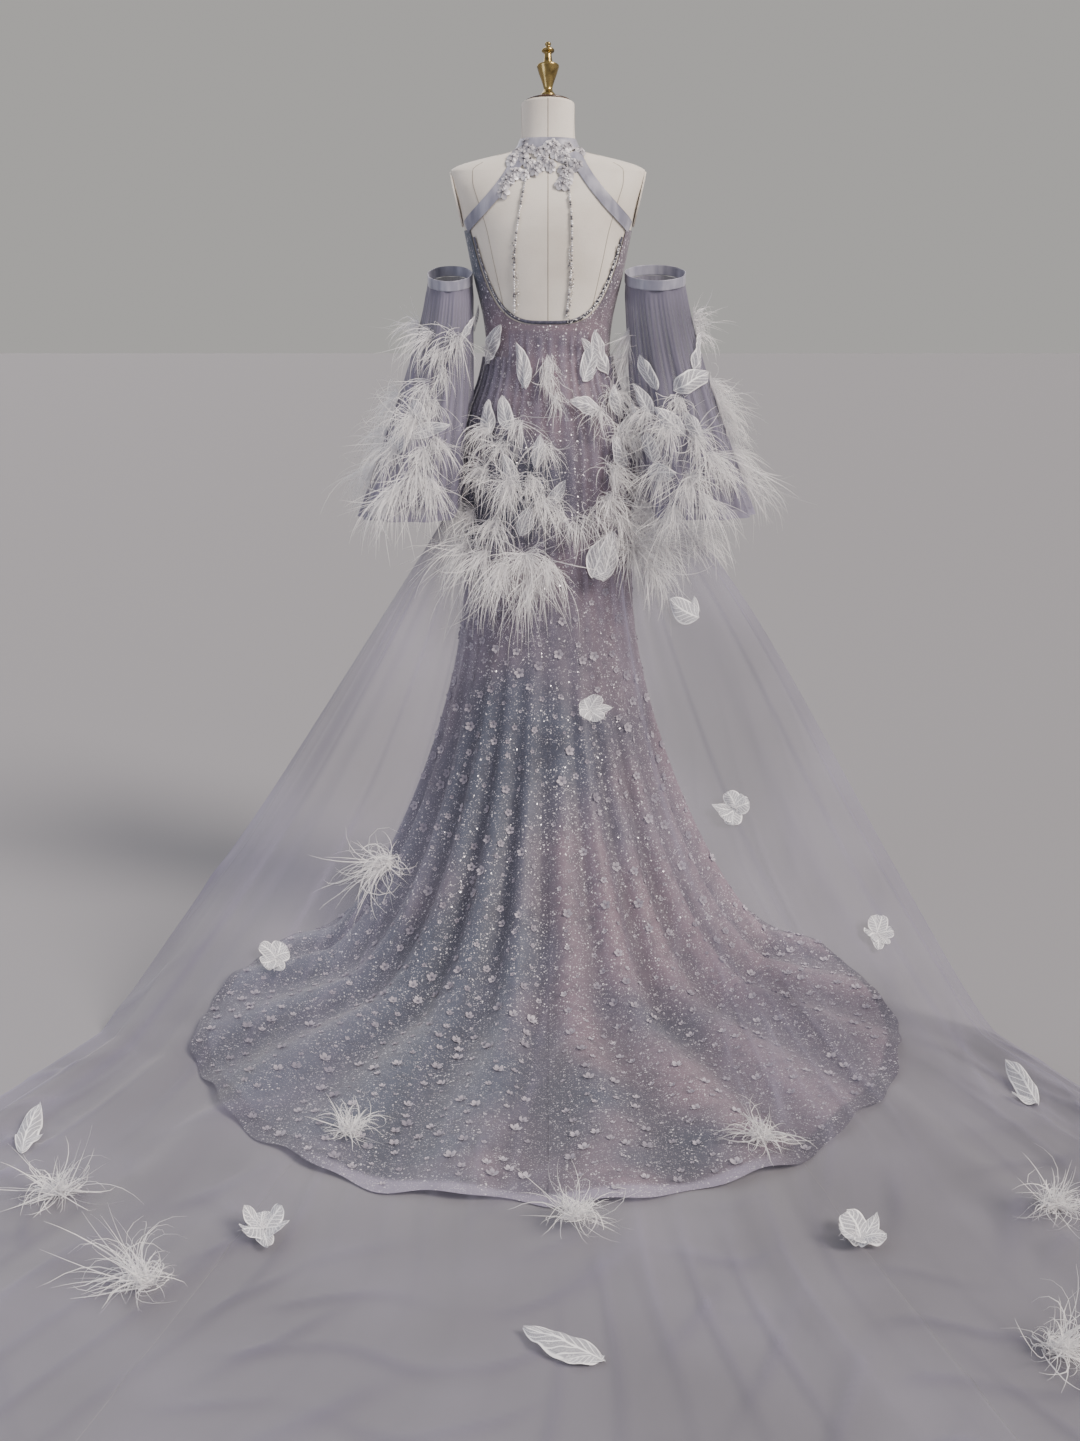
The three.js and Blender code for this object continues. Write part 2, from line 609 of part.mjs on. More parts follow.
function netPoint(u, v) {
  if (v <= 1) {
    const z = lerp(HIP_RINGS[5], NET_HIP_Z, v);
    return bodyPoint(HIP_DEG * u, z, netOff(z));
  }
  const away = rad(LAND.deg * u);
  const land = new THREE.Vector3(LAND.r * Math.sin(away), -LAND.r * Math.cos(away), 0);
  if (v >= 2) {
    const a = (Math.PI / 2) * u;
    const end = new THREE.Vector3(END.wide * Math.sin(a), -END.corner - END.round * Math.cos(a), 0);
    const p = land.lerp(end, v - 2);
    return p.setZ(underNet(p.x, p.y) + netWave(u, v));
  }
  const hip = bodyPoint(HIP_DEG * u, NET_HIP_Z, netOff(NET_HIP_Z));
  const taut = smooth(Math.abs(u), 0.5, 1);
  const held = u < 0 ? hip.clone().lerp(land, 0.3) : hip.clone().add(HELD_OUT);
  const thigh = hip.clone().multiplyScalar(1.1).setZ(560).lerp(held, taut);
  const sweep = land.clone().lerp(hip, 0.5).setZ(60).lerp(land.clone().lerp(hip, 0.24), taut);
  sweep.z = Math.min(sweep.z, 150);
  const p = new THREE.CubicBezierCurve3(hip, thigh, sweep, land).getPoint(v - 1);
  const low = 1 - smooth(p.z, 30, 420);
  return p.setZ(p.z + low * underNet(p.x, p.y) + netWave(u, v) * low);
}

const NET_BODY_ROWS = [1215, 1165, 1110, 1045, 975].map((z) => (1215 - z) / (1215 - NET_HIP_Z));
const NET_ROWS = [...NET_BODY_ROWS, 1, 1.16, 1.32, 1.48, 1.64, 1.8, 2, 2.13, 2.27, 2.43, 2.61, 2.8, 3];
const NET_COLUMNS = (from, to) => foldColumns(NET_FOLDS.map(({ u }) => u), from, to, 0.02);

// Columns of a wing: place across, and heights of its two faces above the net's underside.
// The last ones turn the outer edge over.
const TURNED = 0.075;
const EDGE_GAP = 0.6;
const EDGE_WALL = 0.004;

function wingColumns(side) {
  const flat = side > 0 ? NET_COLUMNS(GORE, 0.96) : NET_COLUMNS(-0.96, -GORE).reverse();
  const cols = flat.map((u) => ({ under: [side * u, 0], top: [side * u, NET] }));
  const high = 2 * NET + EDGE_GAP;
  cols.push({ under: [1 - EDGE_WALL, 0], top: [1 - 1.5 * EDGE_WALL, NET] });
  cols.push({ under: [1, NET * 0.6], top: [1 - EDGE_WALL, NET + EDGE_GAP * 0.4] });
  cols.push({ under: [1 - EDGE_WALL, high], top: [1 - 1.5 * EDGE_WALL, NET + EDGE_GAP] });
  cols.push({ under: [1 - TURNED / 2, high], top: [1 - TURNED / 2, NET + EDGE_GAP] });
  cols.push({ under: [1 - TURNED, high], top: [1 - TURNED, NET + EDGE_GAP] });
  const placed = cols.map(({ under, top }) => ({
    under: [side * under[0], under[1]], top: [side * top[0], top[1]],
  }));
  return side > 0 ? placed : placed.reverse();
}

function netAt(u, v, out, shift = 0) {
  const at = frameOn(netPoint, u, v, 0.004, 0.01);
  if (v >= 2) at.out.set(0, 0, 1);
  return at.p.addScaledVector(at.out, out).addScaledVector(at.across, shift);
}

function buildNet() {
  const columns = NET_COLUMNS(-GORE, GORE);
  const last = columns.length - 1;
  const middle = (out) => grid(NET_ROWS.length - 1, last, (j, i) =>
    netAt(columns[i], NET_ROWS[j], out, seamShift(i, last)));
  addMesh("net_middle", wall(middle(NET), middle(0)), "net");
  const rows = NET_ROWS.slice(1);
  for (const [side, word] of [[-1, "left"], [1, "right"]]) {
    const wing = wingColumns(side);
    const sewn = side > 0 ? 0 : wing.length - 1;
    const face = (key) => rows.map((v) => wing.map((col, i) =>
      netAt(col[key][0], v, col[key][1], i === sewn ? (side * SEAM) / 2 : 0)));
    addMesh("net_wing_" + word, wall(face("top"), face("under")), "net");
  }
}

// A bell sleeve: turn runs round it in degrees, t down it from the band to the hem
const SLEEVES = [
  { side: -1, word: "left", top: { x: 188, y: -10, z: 1302, rx: 40, ry: 54 },
    hem: { x: 262, y: -60, z: 862, rx: 98, ry: 110 } },
  { side: 1, word: "right", top: { x: 206, y: -10, z: 1304, rx: 54, ry: 56 },
    hem: { x: 296, y: -56, z: 866, rx: 98, ry: 112 } },
];
const SLEEVE_GATHERS = 10;
const SLEEVE_COLS = 30;
const SLEEVE_ROWS = 6;
const BAND_TALL = 20;

// Moves a point out sideways until it is clear of the dressed body
function clearOfBody(p, clear) {
  const mid = read(BODY, "z", "mid", p.z);
  const deep = read(BODY, "z", p.y < mid ? "back" : "front", p.z) + clear;
  const off = Math.abs(p.y - mid) / deep;
  if (off >= 1) return p;
  const n = BODY_SQUARENESS;
  const wide = (read(BODY, "z", "half", p.z) + clear) * (1 - off ** n) ** (1 / n);
  return Math.abs(p.x) < wide ? p.setX(Math.sign(p.x) * wide) : p;
}

function sleevePoint(sleeve, turn, t, out = 0, thick = NET) {
  const { side, top: a, hem: b } = sleeve;
  const flare = Math.max(t, 0) ** 1.3;
  const gather = Math.cos(rad(turn * SLEEVE_GATHERS));
  const pleat = lerp(1.2, 7, smooth(t, 0, 0.7)) * gather * (t < 0 ? 0 : 1);
  const rx = lerp(a.rx, b.rx, flare) + pleat + out;
  const ry = lerp(a.ry, b.ry, flare) + pleat + out;
  const p = new THREE.Vector3(
    side * (lerp(a.x, b.x, flare) + rx * Math.cos(rad(turn))),
    lerp(a.y, b.y, flare) + ry * Math.sin(rad(turn)),
    lerp(a.z, b.z, t),
  );
  p.z += (p.y - a.y) * 0.28 * (1 - smooth(t, 0, 0.6));
  const loose = 1.4 * Math.max(0, 908 - p.z) + lerp(0.9, 11, smooth(t, 0.03, 0.5));
  return clearOfBody(p, ON_FORM + CLOTH + loose + thick - out);
}

function buildSleeves() {
  for (const sleeve of SLEEVES) {
    const bell = (out) => ringGrid(SLEEVE_ROWS, SLEEVE_COLS, (j, i) =>
      sleevePoint(sleeve, (i * 360) / SLEEVE_COLS, j / SLEEVE_ROWS, out));
    addMesh("sleeve_" + sleeve.word, wall(bell(NET), bell(0), true), "net");
    const foot = -ON_CLOTH / (sleeve.top.z - sleeve.hem.z);
    const head = foot - BAND_TALL / (sleeve.top.z - sleeve.hem.z);
    const band = (out) => [head, foot].map((t) =>
      Array.from({ length: 18 }, (_, i) => sleevePoint(sleeve, i * 20, t, out, CLOTH)));
    addMesh("sleeve_band_" + sleeve.word, wall(band(CLOTH), band(0), true), "satin");
  }
}

// The same surface as flat facets between its columns and rows, to sew things on
function faceted(surface, columns, rows) {
  const cell = (list, at) => {
    let i = 0;
    while (i < list.length - 2 && list[i + 1] < at) i += 1;
    return [i, (at - list[i]) / (list[i + 1] - list[i])];
  };
  return (u, v, up) => {
    const [i, fu] = cell(columns, u);
    const [j, fv] = cell(rows, v);
    const at = (m, n) => surface(columns[i + m], rows[j + n], up);
    const near = at(0, 0);
    const far = at(1, 1);
    const turn = fv > fu ? at(0, 1) : at(1, 0);
    const first = fv > fu ? fv : fu;
    const second = fv > fu ? fu : fv;
    return near.clone().addScaledVector(turn.clone().sub(near), first)
      .addScaledVector(far.sub(turn), second);
  };
}

// The place (u, v) on the net that is nearest to a target: across and up for what is upright,
// across and back for what lies on the floor
function findOnNet(row) {
  const floor = row.y !== undefined;
  const miss = (u, v) => {
    const p = netPoint(u, v);
    return Math.hypot(p.x - row.x, floor ? p.y - row.y : p.z - row.z);
  };
  let best = { u: 0, v: 0, off: Infinity };
  const offer = (u, v) => {
    const off = miss(u, v);
    if (off < best.off) best = { u, v, off };
  };
  const [v0, v1] = floor ? [1.9, 3] : [0, 1.9];
  for (let u = -0.98; u <= 0.98; u += 0.04)
    for (let v = v0; v <= v1; v += 0.05) offer(u, v);
  for (let step = 0.03; step > 2e-4; step /= 1.6) {
    const { u, v } = best;
    for (const [a, b] of [[1, 0], [-1, 0], [0, 1], [0, -1], [1, 1], [-1, -1], [1, -1], [-1, 1]])
      offer(u + a * step, Math.min(Math.max(v + b * step, v0), v1));
  }
  return best;
}

const SLEEVE_TURNS = Array.from({ length: SLEEVE_COLS + 1 }, (_, i) => (i * 360) / SLEEVE_COLS);
const SLEEVE_STEPS = Array.from({ length: SLEEVE_ROWS + 1 }, (_, j) => j / SLEEVE_ROWS);
const ALL_NET_COLUMNS = [NET_COLUMNS(-0.96, -GORE), NET_COLUMNS(-GORE, GORE).slice(1),
  NET_COLUMNS(GORE, 0.96).slice(1)].flat();

// A patch of cloth to sew on: points by millimetres across and down from its middle, and up
function patchOf(surface, u, v, du, dv, turn) {
  const [c, d] = [Math.cos(rad(turn)), Math.sin(rad(turn))];
  const perU = surface(u + du, v, 0).distanceTo(surface(u - du, v, 0)) / (2 * du);
  const perV = surface(u, v + dv, 0).distanceTo(surface(u, v - dv, 0)) / (2 * dv);
  return (a, b, up) => surface(u + (a * c - b * d) / perU, v + (a * d + b * c) / perV, up);
}

function patchFor(row) {
  const turn = row.turn ?? 0;
  if (row.sleeve) {
    const sleeve = SLEEVES.find(({ word }) => word === row.sleeve);
    const bell = faceted((a, t, up) => sleevePoint(sleeve, a, t, NET + up), SLEEVE_TURNS,
      SLEEVE_STEPS);
    return patchOf(bell, row.round, row.t, 2, 0.01, -sleeve.side * turn);
  }
  const { u, v } = findOnNet(row);
  const net = faceted((a, b, up) => netAt(a, b, NET + up), ALL_NET_COLUMNS, NET_ROWS);
  return patchOf(net, u, v, 0.01, 0.01, turn);
}

const LEAST_LIE = 0.3;
const LIE_STEP = 0.2;
const MOST_LIE = 6;
const ROOT_R = 0.7;
const STRAND_R = 1.1;

// A strand of a feather: three-sided, from its root in the backing to a point
function strandOf(patch, across, root, up0, reach, spread, lift) {
  const stops = [0.45, 1].map((t) => patch(
    across + Math.sin(spread * (0.55 + 0.45 * t)) * reach * t,
    Math.cos(spread * (0.55 + 0.45 * t)) * reach * t,
    up0 + lift * Math.sin(t * 2.1),
  ));
  stops.unshift(root);
  const points = [];
  for (const k of [0, 1]) {
    const along = stops[k + 1].clone().sub(stops[k]).normalize();
    const side = along.clone().cross(patch(across, 0, 30).sub(patch(across, 0, 0))).normalize();
    const up = side.clone().cross(along);
    for (let i = 0; i < 3; i += 1) {
      const a = (i * 2 * Math.PI) / 3;
      const r = k ? STRAND_R : ROOT_R;
      points.push(stops[k].clone().addScaledVector(side, r * Math.cos(a))
        .addScaledVector(up, r * Math.sin(a)));
    }
  }
  points.push(stops[2]);
  const faces = [0, 2, 1];
  for (let i = 0; i < 3; i += 1) {
    const k = (i + 1) % 3;
    faces.push(i, k, 3 + k, i, 3 + k, 3 + i, 3 + i, 3 + k, 6);
  }
  return solidOf(geometryOf(points, faces));
}

const SPRAY = { wide: 42, deep: 7, thick: 1.8, fan: 1.15, parts: 3 };

// The lowest that a piece can lie on the cloths under it without cutting into them
function seated(make, cloths) {
  let lie = LEAST_LIE;
  let piece = make(lie);
  while (lie < MOST_LIE && cloths.some((name) => piece.intersect(solids.get(name)).volume() > 0.002)) {
    lie += LIE_STEP;
    piece = make(lie);
  }
  return geometryFrom(piece);
}

// A spray: strands that fan out from a narrow backing sewn on the cloth
function sprayOf(row, lie) {
  const patch = patchFor(row);
  const face = (up) => grid(1, SPRAY.parts, (j, i) =>
    patch((i / SPRAY.parts - 0.5) * SPRAY.wide, (j - 0.5) * SPRAY.deep, up));
  const under = face(lie);
  const top = face(lie + SPRAY.thick);
  const rootAt = (across) => {
    const at = (across / SPRAY.wide + 0.5) * SPRAY.parts;
    const i = Math.min(Math.floor(at), SPRAY.parts - 1);
    const middle = (k) => [under[0][k], under[1][k], top[0][k], top[1][k]]
      .reduce((sum, p) => sum.add(p), new THREE.Vector3()).multiplyScalar(0.25);
    return middle(i).lerp(middle(i + 1), at - i);
  };
  let spray = solidOf(wall(top, under));
  for (let i = 0; i < row.strands; i += 1) {
    const s = (2 * i) / (row.strands - 1) - 1;
    const uneven = 0.84 + 0.16 * Math.cos(i * 2.4);
    const across = s * (SPRAY.wide / 2 - 2);
    const lift = row.lift * (i % 2 ? 1 : 0.6);
    spray = spray.add(strandOf(patch, across, rootAt(across), lie + SPRAY.thick / 2,
      row.long * uneven, s * SPRAY.fan * (row.fan ?? 1), lift));
  }
  return spray;
}

// A thin plate on the cloth from its outline, with its middle a little raised
function plateOn(row, outline, lie) {
  const patch = patchFor(row);
  const count = outline.length;
  const points = [];
  for (const up of [lie + 1.1, lie]) {
    for (const [a, b] of outline) points.push(patch(a, b, up));
    points.push(patch(0, 0, up + 0.9));
  }
  const faces = [];
  for (let i = 0; i < count; i += 1) {
    const k = (i + 1) % count;
    const [under, mid] = [count + 1, count];
    faces.push(mid, i, k, mid + under, k + under, i + under);
    faces.push(i, i + under, k + under, i, k + under, k);
  }
  return solidOf(geometryOf(points, faces));
}

function leafOutline(long, wide) {
  const spots = [[-0.5, 0], [-0.3, 0.34], [0, 0.5], [0.28, 0.36], [0.5, 0], [0.28, -0.36],
    [0, -0.5], [-0.3, -0.34]];
  return spots.map(([b, a]) => [a * wide, b * long]);
}

function petalOutline(petals, far, near) {
  return Array.from({ length: petals * 2 }, (_, i) => {
    const a = (i * Math.PI) / petals;
    const r = i % 2 ? near : far;
    return [r * Math.sin(a), r * Math.cos(a)];
  });
}

// Feather sprays: on a sleeve by degrees round it and share down it, on the upright net by
// x and z, on the floor by x and y. turn is from straight down, or from straight back.
const SPRAYS = [
  { name: "feathers_sleeve_left_top", sleeve: "left", fan: 0.7, round: 270, t: 0.16, turn: 0, long: 84,
    strands: 8, lift: 12 },
  { name: "feathers_sleeve_left_mid", sleeve: "left", fan: 0.6, round: 306, t: 0.42, turn: 14, long: 110,
    strands: 9, lift: 16 },
  { name: "feathers_sleeve_left_low", sleeve: "left", fan: 0.7, round: 290, t: 0.76, turn: 8, long: 128,
    strands: 9, lift: 20 },
  { name: "feathers_sleeve_right_top", sleeve: "right", fan: 0.7, round: 300, t: 0.14, turn: -10, long: 84,
    strands: 8, lift: 12 },
  { name: "feathers_sleeve_right_mid", sleeve: "right", fan: 0.6, round: 250, t: 0.5, turn: 10, long: 110,
    strands: 9, lift: 16 },
  { name: "feathers_sleeve_right_low", sleeve: "right", fan: 0.7, round: 320, t: 0.72, turn: -12, long: 132,
    strands: 9, lift: 20 },
  { name: "feathers_seat_left", x: -84, z: 1020, fan: 0.7, turn: 0, long: 96, strands: 9, lift: 14 },
  { name: "feathers_seat_low_left", x: -50, z: 880, turn: 8, long: 150, strands: 10, lift: 22 },
  { name: "feathers_seat_middle", x: -4, z: 1146, turn: 6, long: 92, strands: 8, lift: 12 },
  { name: "feathers_seat_right", x: 108, z: 1150, turn: -16, long: 100, strands: 8, lift: 14 },
  { name: "feathers_seat_mid_right", x: 108, z: 1024, fan: 0.62, turn: 2, long: 108, strands: 9, lift: 16 },
  { name: "feathers_seat_low_right", x: 134, z: 858, turn: -2, long: 130, strands: 10, lift: 22 },
  { name: "feathers_train_a", x: -290, z: 268, turn: 20, long: 84, strands: 6, lift: 14 },
  { name: "feathers_train_b", x: -306, y: -992, turn: -30, long: 84, strands: 6, lift: 10 },
  { name: "feathers_train_c", x: 40, y: -1240, turn: 15, long: 84, strands: 6, lift: 10 },
  { name: "feathers_train_d", x: 322, y: -1009, turn: 40, long: 84, strands: 6, lift: 10 },
  { name: "feathers_train_e", x: -705, y: -1150, turn: -35, long: 84, strands: 6, lift: 10 },
  { name: "feathers_train_f", x: -520, y: -1400, turn: 10, long: 84, strands: 6, lift: 10 },
  { name: "feathers_train_g", x: 715, y: -1190, turn: 30, long: 84, strands: 6, lift: 10 },
  { name: "feathers_train_h", x: 616, y: -1540, turn: -20, long: 84, strands: 6, lift: 10 },
];

// Organza leaves and petal groups, placed the same way
const LEAVES = [
  { name: "leaf_waist_left", x: -100, z: 1188, turn: 30, long: 92, wide: 34 },
  { name: "leaf_waist_middle", x: -50, z: 1148, turn: -18, long: 96, wide: 34 },
  { name: "leaf_waist_right", x: 72, z: 1160, turn: 22, long: 88, wide: 36 },
  { name: "leaf_seat_left", x: -108, z: 1052, turn: -20, long: 66, wide: 34 },
  { name: "leaf_seat_low", x: 100, z: 792, turn: 26, long: 90, wide: 44 },
  { name: "leaf_wing_right", x: 262, z: 690, turn: -30, long: 84, wide: 40 },
  { name: "leaf_train_right", x: 772, y: -800, turn: 24, long: 124, wide: 50 },
  { name: "leaf_train_left", x: -800, y: -960, turn: -40, long: 116, wide: 50 },
  { name: "leaf_train_end", x: 20, y: -1530, turn: -60, long: 116, wide: 50 },
];
const PETALS = [
  { name: "petals_a", x: 79, z: 515, far: 44 },
  { name: "petals_b", x: 345, z: 352, far: 46 },
  { name: "petals_c", x: 580, z: 170, far: 46 },
  { name: "petals_d", x: -480, z: 140, far: 48 },
  { name: "petals_e", x: -390, y: -1260, far: 54 },
  { name: "petals_f", x: 425, y: -1283, far: 54 },
];

// Beaded lace motif over the nape of the collar, scalloped
function napeMotif() {
  const cols = 10;
  const face = (up) => grid(2, cols, (j, i) => {
    const a = lerp(-1, 1, i / cols);
    const scallop = i % 2 ? 3 : 0;
    const top = COLLAR_RINGS[2] - 2 - 6 * a * a;
    const low = 1506 + 44 * a * a - scallop;
    const z = lerp(top, low, j / 2);
    return onBack(38 * a, z, ON_FORM + CLOTH + 2 + up);
  });
  return wall(face(1.4), face(0));
}

function buildSewnOn() {
  const nets = ["net_middle", "net_wing_left", "net_wing_right"];
  for (const row of SPRAYS) {
    const cloths = row.sleeve ? ["sleeve_" + row.sleeve] : nets;
    addMesh(row.name, seated((lie) => sprayOf(row, lie), cloths), "feather");
  }
  for (const row of LEAVES) {
    const outline = leafOutline(row.long, row.wide);
    addMesh(row.name, seated((lie) => plateOn(row, outline, lie), nets), "lace");
  }
  for (const row of PETALS) {
    const outline = petalOutline(5, row.far, row.far * 0.55);
    addMesh(row.name, seated((lie) => plateOn(row, outline, lie), nets), "lace");
  }
  addMesh("nape_motif", napeMotif(), "lace");
}

buildForm();
buildGown();
buildTrims();
buildNet();
buildSleeves();
buildSewnOn();

export default gown;
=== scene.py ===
# %% [markdown]
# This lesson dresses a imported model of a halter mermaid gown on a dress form. The gown has a
# sequined skirt with a floor train, net bell sleeves, a very long net overtrain and feather
# sprays. The solids of the pack stay as the frame; every visible cloth is rebuilt on them as a
# thin shell, because cloth needs far finer folds than a collision solid does.

# %% Load the frame
import math

import bpy
import numpy as np
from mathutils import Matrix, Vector


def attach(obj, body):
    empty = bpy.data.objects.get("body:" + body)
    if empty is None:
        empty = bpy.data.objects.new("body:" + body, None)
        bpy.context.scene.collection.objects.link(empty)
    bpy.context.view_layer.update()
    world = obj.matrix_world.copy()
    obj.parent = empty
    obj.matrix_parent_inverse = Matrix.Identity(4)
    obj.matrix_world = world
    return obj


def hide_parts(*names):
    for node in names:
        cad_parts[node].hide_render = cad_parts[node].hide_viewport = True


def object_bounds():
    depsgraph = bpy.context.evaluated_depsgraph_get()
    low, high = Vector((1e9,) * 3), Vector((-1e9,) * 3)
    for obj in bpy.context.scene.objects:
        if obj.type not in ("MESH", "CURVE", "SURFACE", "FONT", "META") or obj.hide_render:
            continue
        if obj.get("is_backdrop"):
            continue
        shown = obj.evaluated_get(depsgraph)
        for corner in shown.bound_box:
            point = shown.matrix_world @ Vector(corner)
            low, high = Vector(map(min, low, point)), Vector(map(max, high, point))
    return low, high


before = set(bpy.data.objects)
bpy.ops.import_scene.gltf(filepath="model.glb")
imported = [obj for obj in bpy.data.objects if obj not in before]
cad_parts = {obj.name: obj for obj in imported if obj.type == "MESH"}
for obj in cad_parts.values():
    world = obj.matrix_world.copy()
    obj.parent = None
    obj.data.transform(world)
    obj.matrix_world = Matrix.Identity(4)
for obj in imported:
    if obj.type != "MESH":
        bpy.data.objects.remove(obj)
cad_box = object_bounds()
MM = 0.001
print("nodes in the frame:", len(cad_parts))

# %% [markdown]
# The camera stands behind the gown at chest height and looks a little down. Its lens and
# distance come from the form's real size in the photograph. The image is 1080 by 1441, and the
# form's axis lies a little to the right of its middle, which is a small lens shift.

# %% Camera
IMAGE_WIDE = 1080
IMAGE_TALL = 1441
AXIS_PX = 548.0
FOCAL_PX = 1710.0
CAMERA_AWAY = 3.4
CAMERA_HIGH = 1.212
CAMERA_DOWN = math.radians(12.8)
SENSOR = 36.0

lens = bpy.data.cameras.new("camera")
lens.sensor_fit = "AUTO"
lens.sensor_width = SENSOR
lens.lens = FOCAL_PX / IMAGE_TALL * SENSOR
lens.shift_x = -(AXIS_PX - IMAGE_WIDE / 2) / IMAGE_TALL
lens.clip_end = 100
camera = bpy.data.objects.new("camera", lens)
camera.location = (0, -CAMERA_AWAY, CAMERA_HIGH)
camera.rotation_euler = (math.pi / 2 - CAMERA_DOWN, 0, 0)
bpy.context.scene.collection.objects.link(camera)
bpy.context.scene.camera = camera
print("lens in mm:", round(lens.lens, 2))

# %% [markdown]
# Cloth is described by tables of named sizes, in millimetres: the body's sections, the skirt's
# plan and its folds. A smooth value is read between the rows with Hermite spans that never
# overshoot, so that a waist stays a waist. They are the same sizes as the solids have.

# %% Tables of sizes
def table(names, *rows):
    return {name: np.array(values, float) for name, values in zip(names.split(), zip(*rows))}


# The form's sections: height, half width, depth in front and behind, and middle in y
BODY = table(
    "z half front back mid",
    (700, 166, 108, 126, 0), (780, 164, 104, 122, 0), (848, 165, 102, 120, 0),
    (910, 170, 104, 123, 0), (978, 170, 103, 121, 0), (1060, 150, 96, 104, 0),
    (1120, 128, 88, 89, 2), (1178, 117, 82, 80, 4), (1240, 123, 88, 85, 4),
    (1300, 137, 98, 93, 4), (1345, 147, 104, 97, 2), (1400, 158, 100, 98, 0),
    (1450, 175, 86, 90, 0), (1485, 187, 70, 76, -1), (1508, 187, 58, 63, -2),
    (1519, 170, 53, 58, -2), (1528, 140, 50, 55, -1), (1536, 106, 49, 53, 0),
    (1543, 76, 48, 51, 2), (1552, 58, 47, 49, 4), (1575, 51, 46, 46, 7), (1630, 50, 46, 45, 12),
)
SQUARENESS = 2.25
# The skirt's plan: degrees from straight behind, then where it lands and where its hem lies
PLAN = table(
    "deg lands hem",
    (0, 640, 1185), (15, 620, 1150), (30, 570, 1020), (45, 520, 872), (60, 482, 705),
    (75, 450, 575), (90, 420, 462), (120, 372, 398), (150, 340, 362), (180, 328, 348),
)
# The skirt's folds: where round the body, how wide to each side in degrees, and how high
FOLDS = table(
    "deg half deep",
    (-172, 9, 13), (-148, 10, 16), (-124, 9, 14), (-101, 9, 17), (-79, 9, 20), (-62, 7, 24),
    (-46, 7, 19), (-32, 6.5, 25), (-19, 6, 20), (-7, 5.5, 23), (5, 5.5, 17), (16, 5.5, 25),
    (28, 6, 21), (42, 7, 25), (58, 8, 17), (77, 9, 22), (100, 9, 15), (123, 10, 17),
    (147, 9, 13), (170, 8, 15),
)
# The net's folds: place and half width in u, height, and the v where each starts and ends
NET_FOLDS = table(
    "u half deep start end",
    (-0.9, 0.06, 16, 1.1, 2.9), (-0.74, 0.07, 20, 1.05, 2.6), (-0.55, 0.06, 14, 1.2, 3),
    (-0.4, 0.05, 10, 1.9, 2.8), (-0.24, 0.05, 14, 1.1, 2.5), (-0.08, 0.05, 10, 1.3, 3),
    (0.1, 0.05, 13, 1.1, 2.7), (0.27, 0.05, 16, 1.6, 3), (0.45, 0.06, 11, 1.2, 2.4),
    (0.6, 0.06, 18, 1.1, 2.9), (0.78, 0.07, 13, 1.2, 2.7), (0.92, 0.06, 18, 1.1, 3),
)
FOLD_MOST = FOLDS["deep"].max()
# Walls of the gown and the net, then the gaps: between panels, on the form and on cloth
CLOTH, NET = 1.6, 1.2
SEAM, ON_FORM, ON_CLOTH = 0.5, 1.0, 0.4


def read(rows, key, name, at):
    """A column of a table at any key between its rows."""
    k = rows[key]
    v = rows[name]
    last = len(k) - 1
    at = np.clip(np.asarray(at, float), k[0], k[-1])
    i = np.clip(np.searchsorted(k, at, side="left") - 1, 0, last - 1)

    def slope(j):
        a = np.maximum(j - 1, 0)
        b = np.minimum(j + 1, last)
        return (v[b] - v[a]) / (k[b] - k[a])

    wide = k[i + 1] - k[i]
    t = (at - k[i]) / wide
    p, q = v[i], v[i + 1]
    rise = 3 * (q - p)
    way = np.sign(rise)
    m0 = way * np.clip(slope(i) * wide * way, 0, np.abs(rise))
    m1 = way * np.clip(slope(i + 1) * wide * way, 0, np.abs(rise))
    rest = (t - 1) ** 2
    return (1 + 2 * t) * rest * p + t * rest * m0 + t * t * (3 - 2 * t) * q + t * t * (t - 1) * m1


def smooth(x, low, high):
    t = np.clip((np.asarray(x, float) - low) / (high - low), 0, 1)
    return t * t * (3 - 2 * t)


def mix(a, b, t):
    return a + (b - a) * t


print("half width at the waist in mm:", round(float(read(BODY, "z", "half", 1178)), 1))

# %% [markdown]
# The form's skin is a stack of superellipses with a bust in front. The gown hugs it to the
# knee, flares in a curve to the floor, and runs on along the floor as the train. Godet folds
# lift it along its normal, more and more towards the floor. A place on it is deg, the degrees
# round the body from straight behind, and s, which is 0 at the collar, 1 at the knee, 2 where
# the cloth meets the floor and 3 at the hem.

# %% The body's skin and the gown's cloth
BUST = {"out": 26, "x": 74, "z": 1352, "wide": 46, "tall": 50}
COLLAR_Z = 1546
KNEE_Z = 700
# The flare's two handles, each in front and behind: how far out, as a share, and how high
SHIN_OUT, SHIN_Z = (1.1, 1.22), (450, 430)
SWEEP_OUT, SWEEP_Z = (0.67, 0.56), (150, 26)


def signed_power(t, p):
    return np.sign(t) * np.abs(t) ** p


def vec(x, y, z):
    return np.stack(np.broadcast_arrays(x, y, z), axis=-1).astype(float)


def body_point(deg, z, out=0.0):
    """A point of the form's skin, or that far outside it."""
    deg, z = np.broadcast_arrays(np.asarray(deg, float), np.asarray(z, float))
    s, c = np.sin(np.radians(deg)), np.cos(np.radians(deg))
    p = 2 / SQUARENESS
    deep = np.where(c >= 0, read(BODY, "z", "back", z), read(BODY, "z", "front", z)) + out
    x = (read(BODY, "z", "half", z) + out) * signed_power(s, p)
    y = read(BODY, "z", "mid", z) - deep * signed_power(c, p)
    across = ((np.abs(x) - BUST["x"]) / BUST["wide"]) ** 2
    bump = BUST["out"] * np.exp(-across - ((z - BUST["z"]) / BUST["tall"]) ** 2)
    y = y + np.where(c < 0, bump * np.minimum(1, -3 * c), 0)
    return vec(x, y, z)


